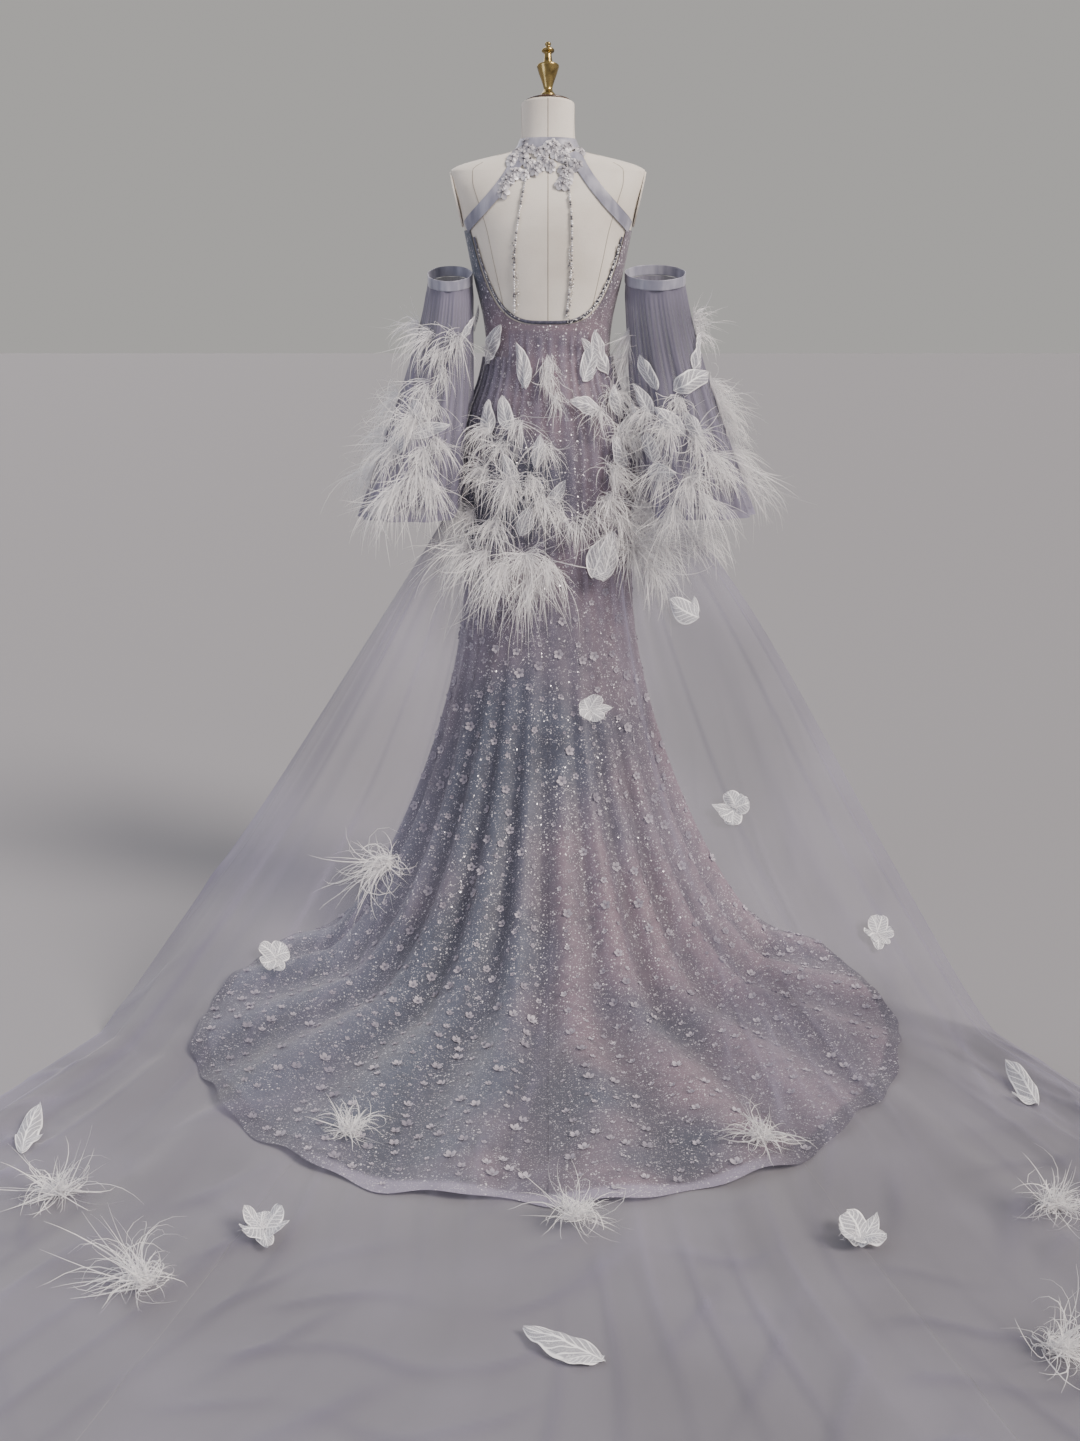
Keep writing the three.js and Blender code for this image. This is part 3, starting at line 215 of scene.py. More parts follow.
def deg_at(x, z):
    """The degrees at which the back of the skin has that x."""
    share = np.minimum(np.abs(x) / read(BODY, "z", "half", z), 1)
    return np.sign(x) * np.degrees(np.arcsin(share ** (SQUARENESS / 2)))


def unit(v):
    return v / np.maximum(np.linalg.norm(v, axis=-1, keepdims=True), 1e-12)


def on_back(x, z, out):
    """A point of the back by x and z, that far off the skin."""
    deg = deg_at(x, z)
    p = body_point(deg, z)
    along = body_point(deg + 1, z) - p
    up = body_point(deg, z + 1) - p
    return p + unit(np.cross(along, up)) * np.asarray(out)[..., None]


def bezier(a, b, c, d, t):
    t = np.asarray(t)[..., None]
    r = 1 - t
    return a * r**3 + 3 * b * t * r**2 + 3 * c * t**2 * r + d * t**3


def gown_smooth(deg, s):
    """The gown's inner face before it is folded."""
    deg, s = np.broadcast_arrays(np.asarray(deg, float), np.asarray(s, float))
    hugging = body_point(deg, mix(COLLAR_Z - SEAM, KNEE_Z, np.clip(s, -1, 1)), ON_FORM)
    away = np.abs((deg + 540) % 360 - 180)
    lands = read(PLAN, "deg", "lands", away)
    hem = read(PLAN, "deg", "hem", away)
    a = np.radians(deg)
    ray = vec(np.sin(a), -np.cos(a), 0)
    knee = body_point(deg, KNEE_Z, ON_FORM)
    behind = np.maximum(0, np.cos(a))
    shin = knee * mix(*SHIN_OUT, behind)[..., None]
    shin[..., 2] = mix(*SHIN_Z, behind)
    sweep = ray * (lands * mix(*SWEEP_OUT, behind))[..., None]
    sweep[..., 2] = mix(*SWEEP_Z, behind)
    flare = bezier(knee, shin, sweep, ray * lands[..., None], np.clip(s - 1, 0, 1))
    floor = ray * mix(lands, hem, s - 2)[..., None]
    s = s[..., None]
    return np.where(s <= 1, hugging, np.where(s < 2, flare, floor))


def fold_rise(s):
    """How far a fold has risen: from nothing at the knee to all of it, then half at the hem."""
    return smooth(s, 0.96, 1.75) * mix(1, 0.5, smooth(s, 2.1, 3))


def ridges(at, centres, halves, deeps, turn=None):
    """The highest of many rounded ridges; turn is a full round where the ridges run round one."""
    lift = np.zeros(np.shape(at))
    for centre, half, deep in zip(centres, halves, deeps):
        off = np.abs(at - centre)
        if turn:
            off = np.abs((at - centre + 1.5 * turn) % turn - turn / 2)
        off = off / half
        lift = np.maximum(lift, np.where(off < 1, deep * np.cos(off * np.pi / 2) ** 2, 0))
    return lift


def fold_lift(deg, s):
    return ridges(deg, FOLDS["deg"], FOLDS["half"], FOLDS["deep"], 360) * fold_rise(s)


def frame_on(surface, u, v, du=0.5, dv=0.01):
    """Points of a surface with their directions across, down and outward."""
    across = unit(surface(u + du, v) - surface(u - du, v))
    down = unit(surface(u, v + dv) - surface(u, v - dv))
    return surface(u, v), across, down, unit(np.cross(down, across))


UP = np.array([0.0, 0.0, 1.0])


def gown_point(deg, s, out):
    p, across, down, away = frame_on(gown_smooth, deg, s)
    away = np.where(np.asarray(s)[..., None] >= 2, UP, away)
    return p + away * (fold_lift(deg, s) + out)[..., None]


print("hem behind the pole in mm:", gown_smooth(np.array(0.0), np.array(3.0)).round())

# %% [markdown]
# The net overtrain is one huge sheet in three gores. Over the body it hugs the gown, from the
# hips it is stretched out to the floor like a tent, and then it lies on the floor. Where the
# skirt's train is under it, it lies on that. u runs across it from -1 to 1, and v runs down it:
# 0 at its top, 1 at the hips, 2 where it meets the floor and 3 at its end.

# %% The net's cloth
HIP_DEG = 95
LAND_DEG = 54.5
LAND_R = 972
END_WIDE, END_CORNER, END_ROUND = 1100, 1400, 750
NET_HIP_Z = 890
NET_TOP_Z = 1215
THIGH_OUT, THIGH_Z = 1.1, 560
TENT_LOW_Z, TENT_EDGE_Z = 60, 150
HELD_OUT = np.array([215.0, -50.0, -36.0])
NET_LOOSE, NET_CLOSE = 4.5, 0.5
GORE = 0.37


def net_wave(u, v):
    """How high the net's long folds stand, each between its start and its end down the net."""
    lift = np.zeros(np.broadcast(u, v).shape)
    rows = zip(*(NET_FOLDS[k] for k in ("u", "half", "deep", "start", "end")))
    for centre, half, deep, start, end in rows:
        span = smooth(v, start, start + 0.4) * (1 - smooth(v, end - 0.5, end))
        lift = np.maximum(lift, ridges(u, [centre], [half], [1]) * deep * span)
    return lift


def under_net(x, y):
    """How high the skirt's train lifts the net that lies on it."""
    r = np.hypot(x, y)
    away = np.abs(np.degrees(np.arctan2(x, -y)))
    lands = read(PLAN, "deg", "lands", away)
    hem = read(PLAN, "deg", "hem", away)
    s = 2 + np.clip((r - lands) / (hem - lands), 0, 1)
    on_skirt = FOLD_MOST * fold_rise(s) + CLOTH + ON_CLOTH
    return on_skirt * (1 - smooth(r, hem + 40, hem + 230))


def net_off(z):
    """How far off the skin the net hangs: looser over the hips than at its top."""
    return ON_FORM + CLOTH + mix(NET_LOOSE, NET_CLOSE, smooth(z, 900, 1150))


def net_smooth(u, v):
    """The net's inner face with its long folds."""
    u, v = np.broadcast_arrays(np.asarray(u, float), np.asarray(v, float))
    z = mix(NET_TOP_Z, NET_HIP_Z, np.clip(v, -0.2, 1))
    worn = body_point(HIP_DEG * u, z, net_off(z))
    turn = np.radians(LAND_DEG * u)
    land = vec(LAND_R * np.sin(turn), -LAND_R * np.cos(turn), 0)
    a = np.pi / 2 * u
    end = vec(END_WIDE * np.sin(a), -END_CORNER - END_ROUND * np.cos(a), 0)
    floor = land + (end - land) * (v - 2)[..., None]
    floor[..., 2] = under_net(floor[..., 0], floor[..., 1]) + net_wave(u, v)
    hip = body_point(HIP_DEG * u, NET_HIP_Z, net_off(NET_HIP_Z))
    taut = smooth(np.abs(u), 0.5, 1)[..., None]
    held = np.where(u[..., None] < 0, mix(hip, land, 0.3), hip + HELD_OUT)
    thigh = hip * THIGH_OUT
    thigh[..., 2] = THIGH_Z
    thigh = mix(thigh, held, taut)
    sweep = mix(land, hip, 0.5)
    sweep[..., 2] = TENT_LOW_Z
    sweep = mix(sweep, mix(land, hip, 0.24), taut)
    sweep[..., 2] = np.minimum(sweep[..., 2], TENT_EDGE_Z)
    air = bezier(hip, thigh, sweep, land, np.clip(v - 1, 0, 1))
    low = 1 - smooth(air[..., 2], 30, 420)
    air[..., 2] += low * (under_net(air[..., 0], air[..., 1]) + net_wave(u, v))
    v = v[..., None]
    return np.where(v <= 1, worn, np.where(v < 2, air, floor))


def net_point(u, v, out):
    p, across, down, away = frame_on(net_smooth, u, v, 0.004, 0.01)
    away = np.where(np.asarray(v)[..., None] >= 2, UP, away)
    return p + away * np.asarray(out)[..., None]


print("net's left edge on the floor in mm:", net_smooth(np.array(-1.0), np.array(2.0)).round())

# %% [markdown]
# A bell sleeve is gathered into a satin band off the shoulder and flares to its hem. Its inner
# side is pushed clear of the dressed body, as the arm-hole side of a real sleeve is.

# %% The sleeves' cloth
# Each end of a sleeve: the ring's middle in x, y and z, then its half widths in x and y
SLEEVES = {
    "left": {"side": -1, "top": (188, -10, 1302, 40, 54), "hem": (262, -60, 862, 98, 110)},
    "right": {"side": 1, "top": (206, -10, 1304, 54, 56), "hem": (296, -56, 866, 98, 112)},
}
GATHERS = 10
FLARE_POWER = 1.3
PLEAT_TOP, PLEAT_HEM = 1.2, 7
BAND_TALL = 20
# The band sits lower behind; below the hips the sleeve keeps clear of the wider skirt
BAND_DIP = 0.28
SKIRT_SIDE_Z, SKIRT_SIDE_GROWS = 908, 1.4


def clear_of_body(p, clear):
    """Points pushed sideways until they are that far off the form."""
    mid = read(BODY, "z", "mid", p[..., 2])
    front = read(BODY, "z", "front", p[..., 2])
    back = read(BODY, "z", "back", p[..., 2])
    off = np.abs(p[..., 1] - mid) / (np.where(p[..., 1] < mid, back, front) + clear)
    n = SQUARENESS
    wide = (read(BODY, "z", "half", p[..., 2]) + clear) * np.maximum(1 - off**n, 0) ** (1 / n)
    p = p.copy()
    p[..., 0] = np.sign(p[..., 0]) * np.maximum(np.abs(p[..., 0]), np.where(off < 1, wide, 0))
    return p


def sleeve_point(word, turn, t, out=0.0, thick=NET):
    """A point of a sleeve by its turn in degrees, where 270 is behind, and t from top to hem."""
    turn, t = np.broadcast_arrays(np.asarray(turn, float), np.asarray(t, float))
    side = SLEEVES[word]["side"]
    ax, ay, az, arx, ary = SLEEVES[word]["top"]
    bx, by, bz, brx, bry = SLEEVES[word]["hem"]
    flare = np.maximum(t, 0) ** FLARE_POWER
    gather = np.cos(np.radians(turn * GATHERS))
    pleat = mix(PLEAT_TOP, PLEAT_HEM, smooth(t, 0, 0.7)) * gather * (t >= 0)
    x = side * (mix(ax, bx, flare) + (mix(arx, brx, flare) + pleat + out) * np.cos(np.radians(turn)))
    y = mix(ay, by, flare) + (mix(ary, bry, flare) + pleat + out) * np.sin(np.radians(turn))
    z = mix(az, bz, t) + (y - ay) * BAND_DIP * (1 - smooth(t, 0, 0.6))
    loose = SKIRT_SIDE_GROWS * np.maximum(0, SKIRT_SIDE_Z - z) + mix(0.9, 11, smooth(t, 0.03, 0.5))
    return clear_of_body(vec(x, y, z), ON_FORM + CLOTH + loose + thick - out)


print("sleeve hem's back in mm:", sleeve_point("left", np.array(270.0), np.array(1.0)).round())

# %% [markdown]
# Every piece is made from a grid of points. One function turns points and faces into a mesh,
# names it, smooths it, gives it its finish, hangs it on the stand, the only body there is, and
# says which solids it replaces. Values that a finish needs along the cloth, such as how dense
# a net is, go on the points.

# %% Making a piece
def add_piece(name, points, faces, finish, slot, replaced=(), **values):
    """A mesh in its finish, on the stand, in place of the solids that it replaces."""
    mesh = bpy.data.meshes.new(name)
    points = np.asarray(points, float).reshape(-1, 3) * MM
    faces = np.asarray(faces, int)
    mesh.vertices.add(len(points))
    mesh.vertices.foreach_set("co", points.ravel())
    mesh.loops.add(faces.size)
    mesh.loops.foreach_set("vertex_index", faces.ravel())
    mesh.polygons.add(len(faces))
    mesh.polygons.foreach_set("loop_start", np.arange(0, faces.size, faces.shape[1]))
    mesh.polygons.foreach_set("use_smooth", np.full(len(faces), True))
    mesh.update(calc_edges=True)
    for key, amount in values.items():
        layer = mesh.attributes.new(key, "FLOAT", "POINT")
        layer.data.foreach_set("value", np.asarray(amount, float).ravel())
    mesh.materials.append(finish.material)
    piece = bpy.data.objects.new(name, mesh)
    bpy.context.scene.collection.objects.link(piece)
    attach(piece, "root")
    if replaced:
        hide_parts(*replaced)
    print(name, "has", len(faces), "faces")
    return piece


def grid_faces(rows, cols, ring=False):
    """The quads of a grid of points, closed round to its first column if it is a ring."""
    j = np.arange(rows - 1)[:, None]
    i = np.arange(cols if ring else cols - 1)[None, :]
    k = (i + 1) % cols
    quads = [j * cols + i, (j + 1) * cols + i, (j + 1) * cols + k, j * cols + k]
    return np.stack(np.broadcast_arrays(*quads), axis=-1).reshape(-1, 4)


def add_grid(name, grid, finish, slot, replaced=(), ring=False, **values):
    """A piece from a grid of rows and columns of points."""
    faces = grid_faces(*grid.shape[:2], ring)
    return add_piece(name, grid, faces, finish, slot, replaced, **values)


def many(faces, copies):
    """One mesh from a small shape placed many times: copies is (n, points, 3)."""
    n, count = copies.shape[:2]
    shift = np.arange(n)[:, None, None] * count
    return copies.reshape(-1, 3), (faces[None] + shift).reshape(-1, faces.shape[1])


# %% [markdown]
# Shader sums are written as Python. A Wire stands for a node's output, so that adding and
# multiplying wires makes the Math nodes. A Finish is one material with its shader; its methods
# add the nodes that the finishes share, such as noise, cells, blends and bumps.

# %% Wires and finishes
class Wire:
    def __init__(self, finish, socket):
        self.finish = finish
        self.socket = socket

    def sum(self, operation, a, b):
        return self.finish.node("ShaderNodeMath", {"operation": operation}, {0: a, 1: b})[0]

    def __add__(self, other):
        return self.sum("ADD", self, other)

    def __sub__(self, other):
        return self.sum("SUBTRACT", self, other)

    def __rsub__(self, other):
        return self.sum("SUBTRACT", other, self)

    def __mul__(self, other):
        return self.sum("MULTIPLY", self, other)

    def larger(self, other):
        return self.sum("MAXIMUM", self, other)

    def __lt__(self, other):
        return self.sum("LESS_THAN", self, other)

    def __gt__(self, other):
        return self.sum("GREATER_THAN", self, other)

    __radd__ = __add__
    __rmul__ = __mul__


class Finish:
    def __init__(self, name, **constants):
        self.material = bpy.data.materials.new(name)
        self.material.use_nodes = True
        self.tree = self.material.node_tree
        self.shader = self.tree.nodes["Principled BSDF"]
        self.surface(**constants)

    def feed(self, node, sockets):
        for key, value in sockets.items():
            if isinstance(value, Wire):
                self.tree.links.new(value.socket, node.inputs[key])
            else:
                node.inputs[key].default_value = value

    def node(self, kind, settings=None, sockets=None):
        node = self.tree.nodes.new(kind)
        for key, value in (settings or {}).items():
            setattr(node, key, value)
        self.feed(node, sockets or {})
        outputs = {o.name: Wire(self, o) for o in node.outputs}
        outputs.update(enumerate(Wire(self, o) for o in node.outputs))
        return outputs

    def vector(self, operation, sockets):
        return self.node("ShaderNodeVectorMath", {"operation": operation}, sockets)[0]

    def place(self, stretch=(1, 1, 1)):
        where = self.node("ShaderNodeTexCoord")["Object"]
        return self.vector("MULTIPLY", {0: where, 1: stretch})

    def value(self, name):
        return self.node("ShaderNodeAttribute", {"attribute_name": name})["Fac"]

    def noise(self, scale, detail=2.0, stretch=(1, 1, 1)):
        sockets = {"Vector": self.place(stretch), "Scale": scale, "Detail": detail}
        return self.node("ShaderNodeTexNoise", {}, sockets)[0]

    def cells(self, scale, feature="F1"):
        sockets = {"Vector": self.place(), "Scale": scale}
        return self.node("ShaderNodeTexVoronoi", {"feature": feature}, sockets)

    def part(self, colour, which=0):
        return self.node("ShaderNodeSeparateColor", {}, {0: colour})[which]

    def blend(self, a, b, by):
        return self.node("ShaderNodeMix", {"data_type": "RGBA"}, {0: by, 6: a, 7: b})[2]

    def between(self, wire, low, high):
        sockets = {0: wire, 1: low, 2: high, 3: 0.0, 4: 1.0}
        return self.node("ShaderNodeMapRange", {"interpolation_type": "SMOOTHSTEP"}, sockets)[0]

    def bump(self, height, distance, strength=1.0):
        sockets = {"Height": height, "Distance": distance, "Strength": strength}
        return self.node("ShaderNodeBump", {}, sockets)["Normal"]

    def surface(self, **sockets):
        self.feed(self.shader, {k.replace("_", " "): v for k, v in sockets.items()})

    def mixed(self, factor, first, second):
        both = self.node("ShaderNodeMixShader", {}, {0: factor, 1: first, 2: second})[0]
        self.tree.links.new(both.socket, self.tree.nodes["Material Output"].inputs[0])

    def see_through(self, factor):
        """Leaves that share of the cloth solid and the rest of it air."""
        clear = self.node("ShaderNodeBsdfTransparent")[0]
        self.mixed(factor, clear, Wire(self, self.shader.outputs[0]))

    def lit_through(self, factor):
        """Lets light that falls on the far side show on the near one, as thin fibres do."""
        through = self.node("ShaderNodeBsdfTranslucent", {}, {"Color": (1.0, 1.0, 1.0, 1.0)})[0]
        self.mixed(factor, Wire(self, self.shader.outputs[0]), through)


def tint(code):
    """A colour from its sRGB hex code, as the linear values that a shader takes."""
    parts = [int(code[i : i + 2], 16) / 255 for i in (0, 2, 4)]
    return (*[c / 12.92 if c < 0.04045 else ((c + 0.055) / 1.055) ** 2.4 for c in parts], 1.0)


# %% [markdown]
# The form is covered in natural linen. Two crossed sets of fine waves make the weave, and a
# slow noise gives the slightly uneven yarn and the faint handling marks.

# %% Linen, wood, brass and iron
linen = Finish("linen", Roughness=0.9, Sheen_Weight=0.25)
yarn = linen.noise(900, 3, (1, 1, 0.12)) + linen.noise(900, 3, (0.12, 0.12, 1))
wear = linen.noise(9, 4)
linen_tone = linen.blend(tint("e9e3d9"), tint("dad3c8"), linen.between(wear, 0.35, 0.7))
linen_tone = linen.blend(linen_tone, tint("c9c1b5"), linen.between(yarn, 1.1, 1.5) * 0.5)
linen.surface(Base_Color=linen_tone, Normal=linen.bump(yarn, 0.0004, 0.5))

seam_thread = Finish("seam_thread", Base_Color=tint("9d958a"), Roughness=0.9)
stitch = seam_thread.noise(450, 2)
seam_thread.surface(Normal=seam_thread.bump(stitch, 0.0005, 0.6))

dark_wood = Finish("dark_wood", Coat_Weight=0.4, Coat_Roughness=0.2)
grain = dark_wood.noise(30, 5, (1, 6, 1))
wood_tone = dark_wood.blend(tint("2c1c14"), tint("4a3223"), dark_wood.between(grain, 0.35, 0.65))
dark_wood.surface(Base_Color=wood_tone, Roughness=0.35 + grain * 0.15)

brass = Finish("brass", Metallic=1.0)
tarnish = brass.noise(60, 5)
brass_tone = brass.blend(tint("a8935f"), tint("5f5236"), brass.between(tarnish, 0.45, 0.75))
brass.surface(Base_Color=brass_tone, Roughness=0.16 + tarnish * 0.22)

iron = Finish("iron", Metallic=0.7)
cast = iron.noise(220, 4)
iron_tone = iron.blend(tint("26262a"), tint("38383d"), iron.between(cast, 0.4, 0.65))
iron.surface(Base_Color=iron_tone, Roughness=0.42 + cast * 0.2, Normal=iron.bump(cast, 0.0004, 0.4))

# %% [markdown]
# The skirt is a lilac ground with clear and silver sequins sewn all over it. A cell pattern
# scatters them. Each cell has its own tilt, so that some flash and others stay dull, and a
# random share of them is also painted near white as painted glints. The ground goes from slate
# blue on the left to a paler pink mauve on the right, with soft patches; this is partly dye
# and partly painted light, the right side being the lit one. The troughs between the folds and
# stripes across the laid train are darkened as painted shade.

# %% Sequinned cloth
sequins = Finish("sequins", Sheen_Weight=0.2)
patch = sequins.noise(3.1, 2)
where_x = sequins.node("ShaderNodeSeparateXYZ", {}, {0: sequins.place()})["X"]
# Partly dye and partly painted light: the right, lit side is painted paler and pinker than the left.
pink_dye_and_painted_light = sequins.between(where_x * 0.9 + patch * 2.2, 0.78, 1.5)
ground = sequins.blend(tint("505868"), tint("87737e"), pink_dye_and_painted_light)
mottle = sequins.noise(38, 3)
ground = sequins.blend(ground, tint("34353f"), sequins.between(mottle, 0.45, 0.75) * 0.45)
# Painted shade: darker in the troughs between the folds and in stripes across the laid train.
ground = sequins.blend(ground, tint("292b36"), sequins.value("trough") * 0.58)
ground = sequins.blend(ground, tint("aaa2b8"), sequins.value("hem") * 0.75)
ground = sequins.blend(ground, tint("23242e"), sequins.value("rim") * 0.8)
small = sequins.cells(330)
large = sequins.cells(170)
small_dot = (small["Distance"] < 0.34) * (sequins.part(small["Color"]) > 0.35)
large_dot = (large["Distance"] < 0.25) * (sequins.part(large["Color"]) > 0.45)
glitter = sequins.part(large["Color"], 1) * large_dot
dots = (small_dot * 0.45).larger(large_dot)
painted_glint = sequins.between(sequins.part(large["Color"], 2), 0.4, 0.62)
# Painted glints: a random share of the sequins is painted near white; the slight paleness of every
# sequin is their own silver.
sequin_tone = sequins.blend(ground, tint("fbf8ff"), dots * (0.22 + 0.78 * painted_glint))
tilt = sequins.vector("SUBTRACT", {0: large["Color"], 1: (0.5, 0.5, 0.5)})
tilt = sequins.vector("SCALE", {0: tilt, 3: dots * 1.1})
facing = sequins.node("ShaderNodeNewGeometry")["Normal"]
facing = sequins.vector("ADD", {0: facing, 1: tilt})
facing = sequins.vector("NORMALIZE", {0: facing})
sequins.surface(
    Base_Color=sequin_tone, Roughness=0.62 - 0.4 * dots, Metallic=0.45 * glitter, Normal=facing
)

# %% [markdown]
# Net is mostly air. The finish mixes a clear shader with a soft lilac one; how much of each
# comes from the points, because gathers, creases and turned edges hold more net.

# %% Net, satin and organza
net = Finish("net", Roughness=0.7, Sheen_Weight=0.3)
net_tone = net.blend(tint("565368"), tint("87839a"), net.between(net.noise(3, 2), 0.3, 0.75))
net.surface(Base_Color=net_tone)
net.see_through(net.value("dense"))

satin = Finish("satin", Sheen_Weight=0.35)
streak = satin.noise(60, 3, (1, 1, 0.2))
satin_tone = satin.blend(tint("7f8092"), tint("a9a9b8"), satin.between(streak, 0.3, 0.75))
satin.surface(
    Base_Color=satin_tone, Roughness=0.3 + streak * 0.14, Normal=satin.bump(streak, 0.0006, 0.4)
)

organza = Finish("organza", Roughness=0.5, Sheen_Weight=0.3)
VEINS, VEINS_SWEEP = 7, 2.4
side = organza.node("ShaderNodeMath", {"operation": "ABSOLUTE"}, {0: organza.value("across")})[0]
slant = organza.value("along") * VEINS - side * VEINS_SWEEP
saw = organza.node("ShaderNodeMath", {"operation": "FRACT"}, {0: slant})[0]
vein = (saw < 0.2) * 0.9
rib = (side < 0.075) * 1.0
outline = organza.between(side, 0.8, 0.9)
lacework = organza.between(organza.cells(620, "DISTANCE_TO_EDGE")["Distance"], 0.12, 0.04) * 0.55
lace = vein.larger(rib).larger(outline).larger(lacework)
organza.surface(Base_Color=organza.blend(tint("cfd1de"), tint("fbfbfd"), lace),
                Normal=organza.bump(lace, 0.0012, 0.6))
organza.see_through(0.4 + lace * 0.56)

# %% [markdown]
# Ostrich barbs are ivory, soft and so thin that some light comes through them; towards the
# knot they are painted a greyer lavender as painted shade. Beads are small, silvered and hard,
# so that each one catches a light; the blossoms are pale matt cloth.

# %% Feather, bead and blossom
feather = Finish("feather", Roughness=0.7, Sheen_Weight=0.5, Sheen_Roughness=0.5)
# Painted shade: a greyer lavender towards each barb's knot, ivory towards its tip.
feather.surface(Base_Color=feather.blend(tint("d8d7e2"), tint("fffdfb"), feather.value("tone")))
feather.lit_through(0.38)

bead = Finish("bead", Metallic=0.35, Coat_Weight=0.6, Coat_Roughness=0.05)
silvering = bead.noise(240, 2)
bead.surface(Base_Color=bead.blend(tint("4d4b55"), tint("fbfafa"), bead.value("tone")),
             Roughness=0.08 + silvering * 0.2)

blossom = Finish("blossom", Roughness=0.6, Sheen_Weight=0.3)
blossom.surface(Base_Color=blossom.blend(tint("6f6a7a"), tint("d3ccd6"), blossom.value("tone")))
print("finishes:", len(bpy.data.materials))

# %% [markdown]
# The room is plain: a pale floor that runs on to the horizon and a pale sky. One strong soft
# lamp stands far off on the right, as the brighter right side of the form shows, so that every
# fold gets a lit and a shaded side. A weak cool one fills the left, and a third, far off and
# weak too, keeps the front of the gown readable.

# %% Floor, sky and lamps
floor_finish = Finish("floor_finish", Base_Color=tint("8e8d91"), Roughness=0.85)
floor_mesh = bpy.data.meshes.new("floor")
FLOOR_HALF = 300.0
FLOOR_Z = -0.0005
corners = [(-1, -1), (1, -1), (1, 1), (-1, 1)]
corners = [(x * FLOOR_HALF, y * FLOOR_HALF, FLOOR_Z) for x, y in corners]
floor_mesh.from_pydata(corners, [], [(0, 1, 2, 3)])
floor_mesh.materials.append(floor_finish.material)
floor = bpy.data.objects.new("floor", floor_mesh)
bpy.context.scene.collection.objects.link(floor)
floor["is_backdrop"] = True

sky = bpy.data.worlds.new("sky")
sky.use_nodes = True
sky.node_tree.nodes["Background"].inputs["Color"].default_value = tint("ebe8e4")
sky.node_tree.nodes["Background"].inputs["Strength"].default_value = 0.52
bpy.context.scene.world = sky


def lamp(name, kind, place, aim, size, power, colour):
    light = bpy.data.lights.new(name, kind)
    if kind == "SUN":
        light.angle = size
    else:
        light.shape = "DISK"
        light.size = size
    light.energy = power
    light.color = tint(colour)[:3]
    holder = bpy.data.objects.new(name, light)
    holder.location = place
    holder.rotation_euler = (Vector(aim) - Vector(place)).to_track_quat("-Z", "Y").to_euler()
    bpy.context.scene.collection.objects.link(holder)


lamp("key", "SUN", (2.7, -1.9, 2.6), (0, 0, 0), 0.42, 4.6, "fff3ea")
lamp("fill", "AREA", (-3.2, -2.4, 1.9), (0, -0.3, 0.7), 2.0, 32, "dfe6ff")
lamp("front", "SUN", (-1.8, 3.6, 2.6), (0, 0, 0), 0.9, 1.1, "f4f2ff")
print("lamps:", len(bpy.data.lights))

# %% [markdown]
# Small things are placed by where they stand in the photograph. A point of a cloth is thrown
# through the camera to its pixel, and the cloth's point nearest to a wanted pixel is the spot,
# so that whatever is sewn there lies on the cloth from any side.

# %% From pixels to the cloth
def pixels_of(points):
    """Where points show in the photograph, and how deep they lie before the camera."""
    away = points[..., 1] * MM + CAMERA_AWAY
    high = points[..., 2] * MM - CAMERA_HIGH
    depth = away * math.cos(CAMERA_DOWN) - high * math.sin(CAMERA_DOWN)
    up = away * math.sin(CAMERA_DOWN) + high * math.cos(CAMERA_DOWN)
    px = AXIS_PX + FOCAL_PX * points[..., 0] * MM / depth
    return px, IMAGE_TALL / 2 - FOCAL_PX * up / depth, depth


def spot_on(points, wanted):
    """Row and column of the visible point of a grid that stands at a pixel."""
    px, py, depth = pixels_of(points)
    miss = np.hypot(px - wanted[0], py - wanted[1])
    near = miss < miss.min() + 4
    return np.unravel_index(np.argmin(np.where(near, depth + miss * 0.003, np.inf)), miss.shape)


def seat_at(points, row, column):
    """Place, across, down and outward directions of a grid of points at one of them."""
    rows, columns = points.shape[:2]
    j0, j1 = max(row - 2, 0), min(row + 2, rows - 1)
    i0, i1 = max(column - 2, 0), min(column + 2, columns - 1)
    across = unit(points[row, i1] - points[row, i0])
    down = unit(points[j1, column] - points[j0, column])
    away = unit(np.cross(down, across))
    return points[row, column], unit(np.cross(away, down)), down, away


def flat_cut(points):
    """Longest row, longest column and area of a cloth grid in metres: the cut it comes from."""
    across = np.linalg.norm(np.diff(points, axis=1), axis=-1).sum(axis=1).max() * MM
    down = np.linalg.norm(np.diff(points, axis=0), axis=-1).sum(axis=0).max() * MM
    a, b = points[1:, 1:] - points[:-1, :-1], points[1:, :-1] - points[:-1, 1:]
    area = np.linalg.norm(np.cross(a, b), axis=-1).sum() / 2 * MM * MM
    return across, down, area


LEAST_SHARE = 0.301


def declare_sheet(piece, points, ring=False):
    """States the flat cut of a cloth; a ring is measured once round, back to its first column."""
    if ring:
        points = np.concatenate([points, points[:, :1]], axis=1)
    wide, long, area = flat_cut(points)
    area = min(max(area, LEAST_SHARE * wide * long), wide * long)
    print(piece.name, "is cut", round(wide, 2), "by", round(long, 2), "m, area", round(area, 2))


# %% [markdown]
# The padded torso has no limbs: the neck ends in a tilted disc and each arm in a flat plate.
# Its linen is cut in panels, so seams run up the middle of the back and over each shoulder
# blade. They are thin raised lines of thread on the skin.

# %% The form
NECK_FOOT_Z, NECK_TOP_Z = 1560, 1630
NECK_TILT = math.radians(12.5)
FORM_FOOT_Z = 848
ARM_TOP = (184, 1512)
ARM_LOW = (160, 1405)
ARM_REACH = 72


def form_point(deg, z):
    """The skin with its neck cut off at a tilt."""
    p = body_point(deg, z)
    lift = smooth(z, NECK_FOOT_Z, NECK_TOP_Z) * math.tan(NECK_TILT)
    p[..., 2] += lift * (read(BODY, "z", "mid", z) - p[..., 1])
    return p


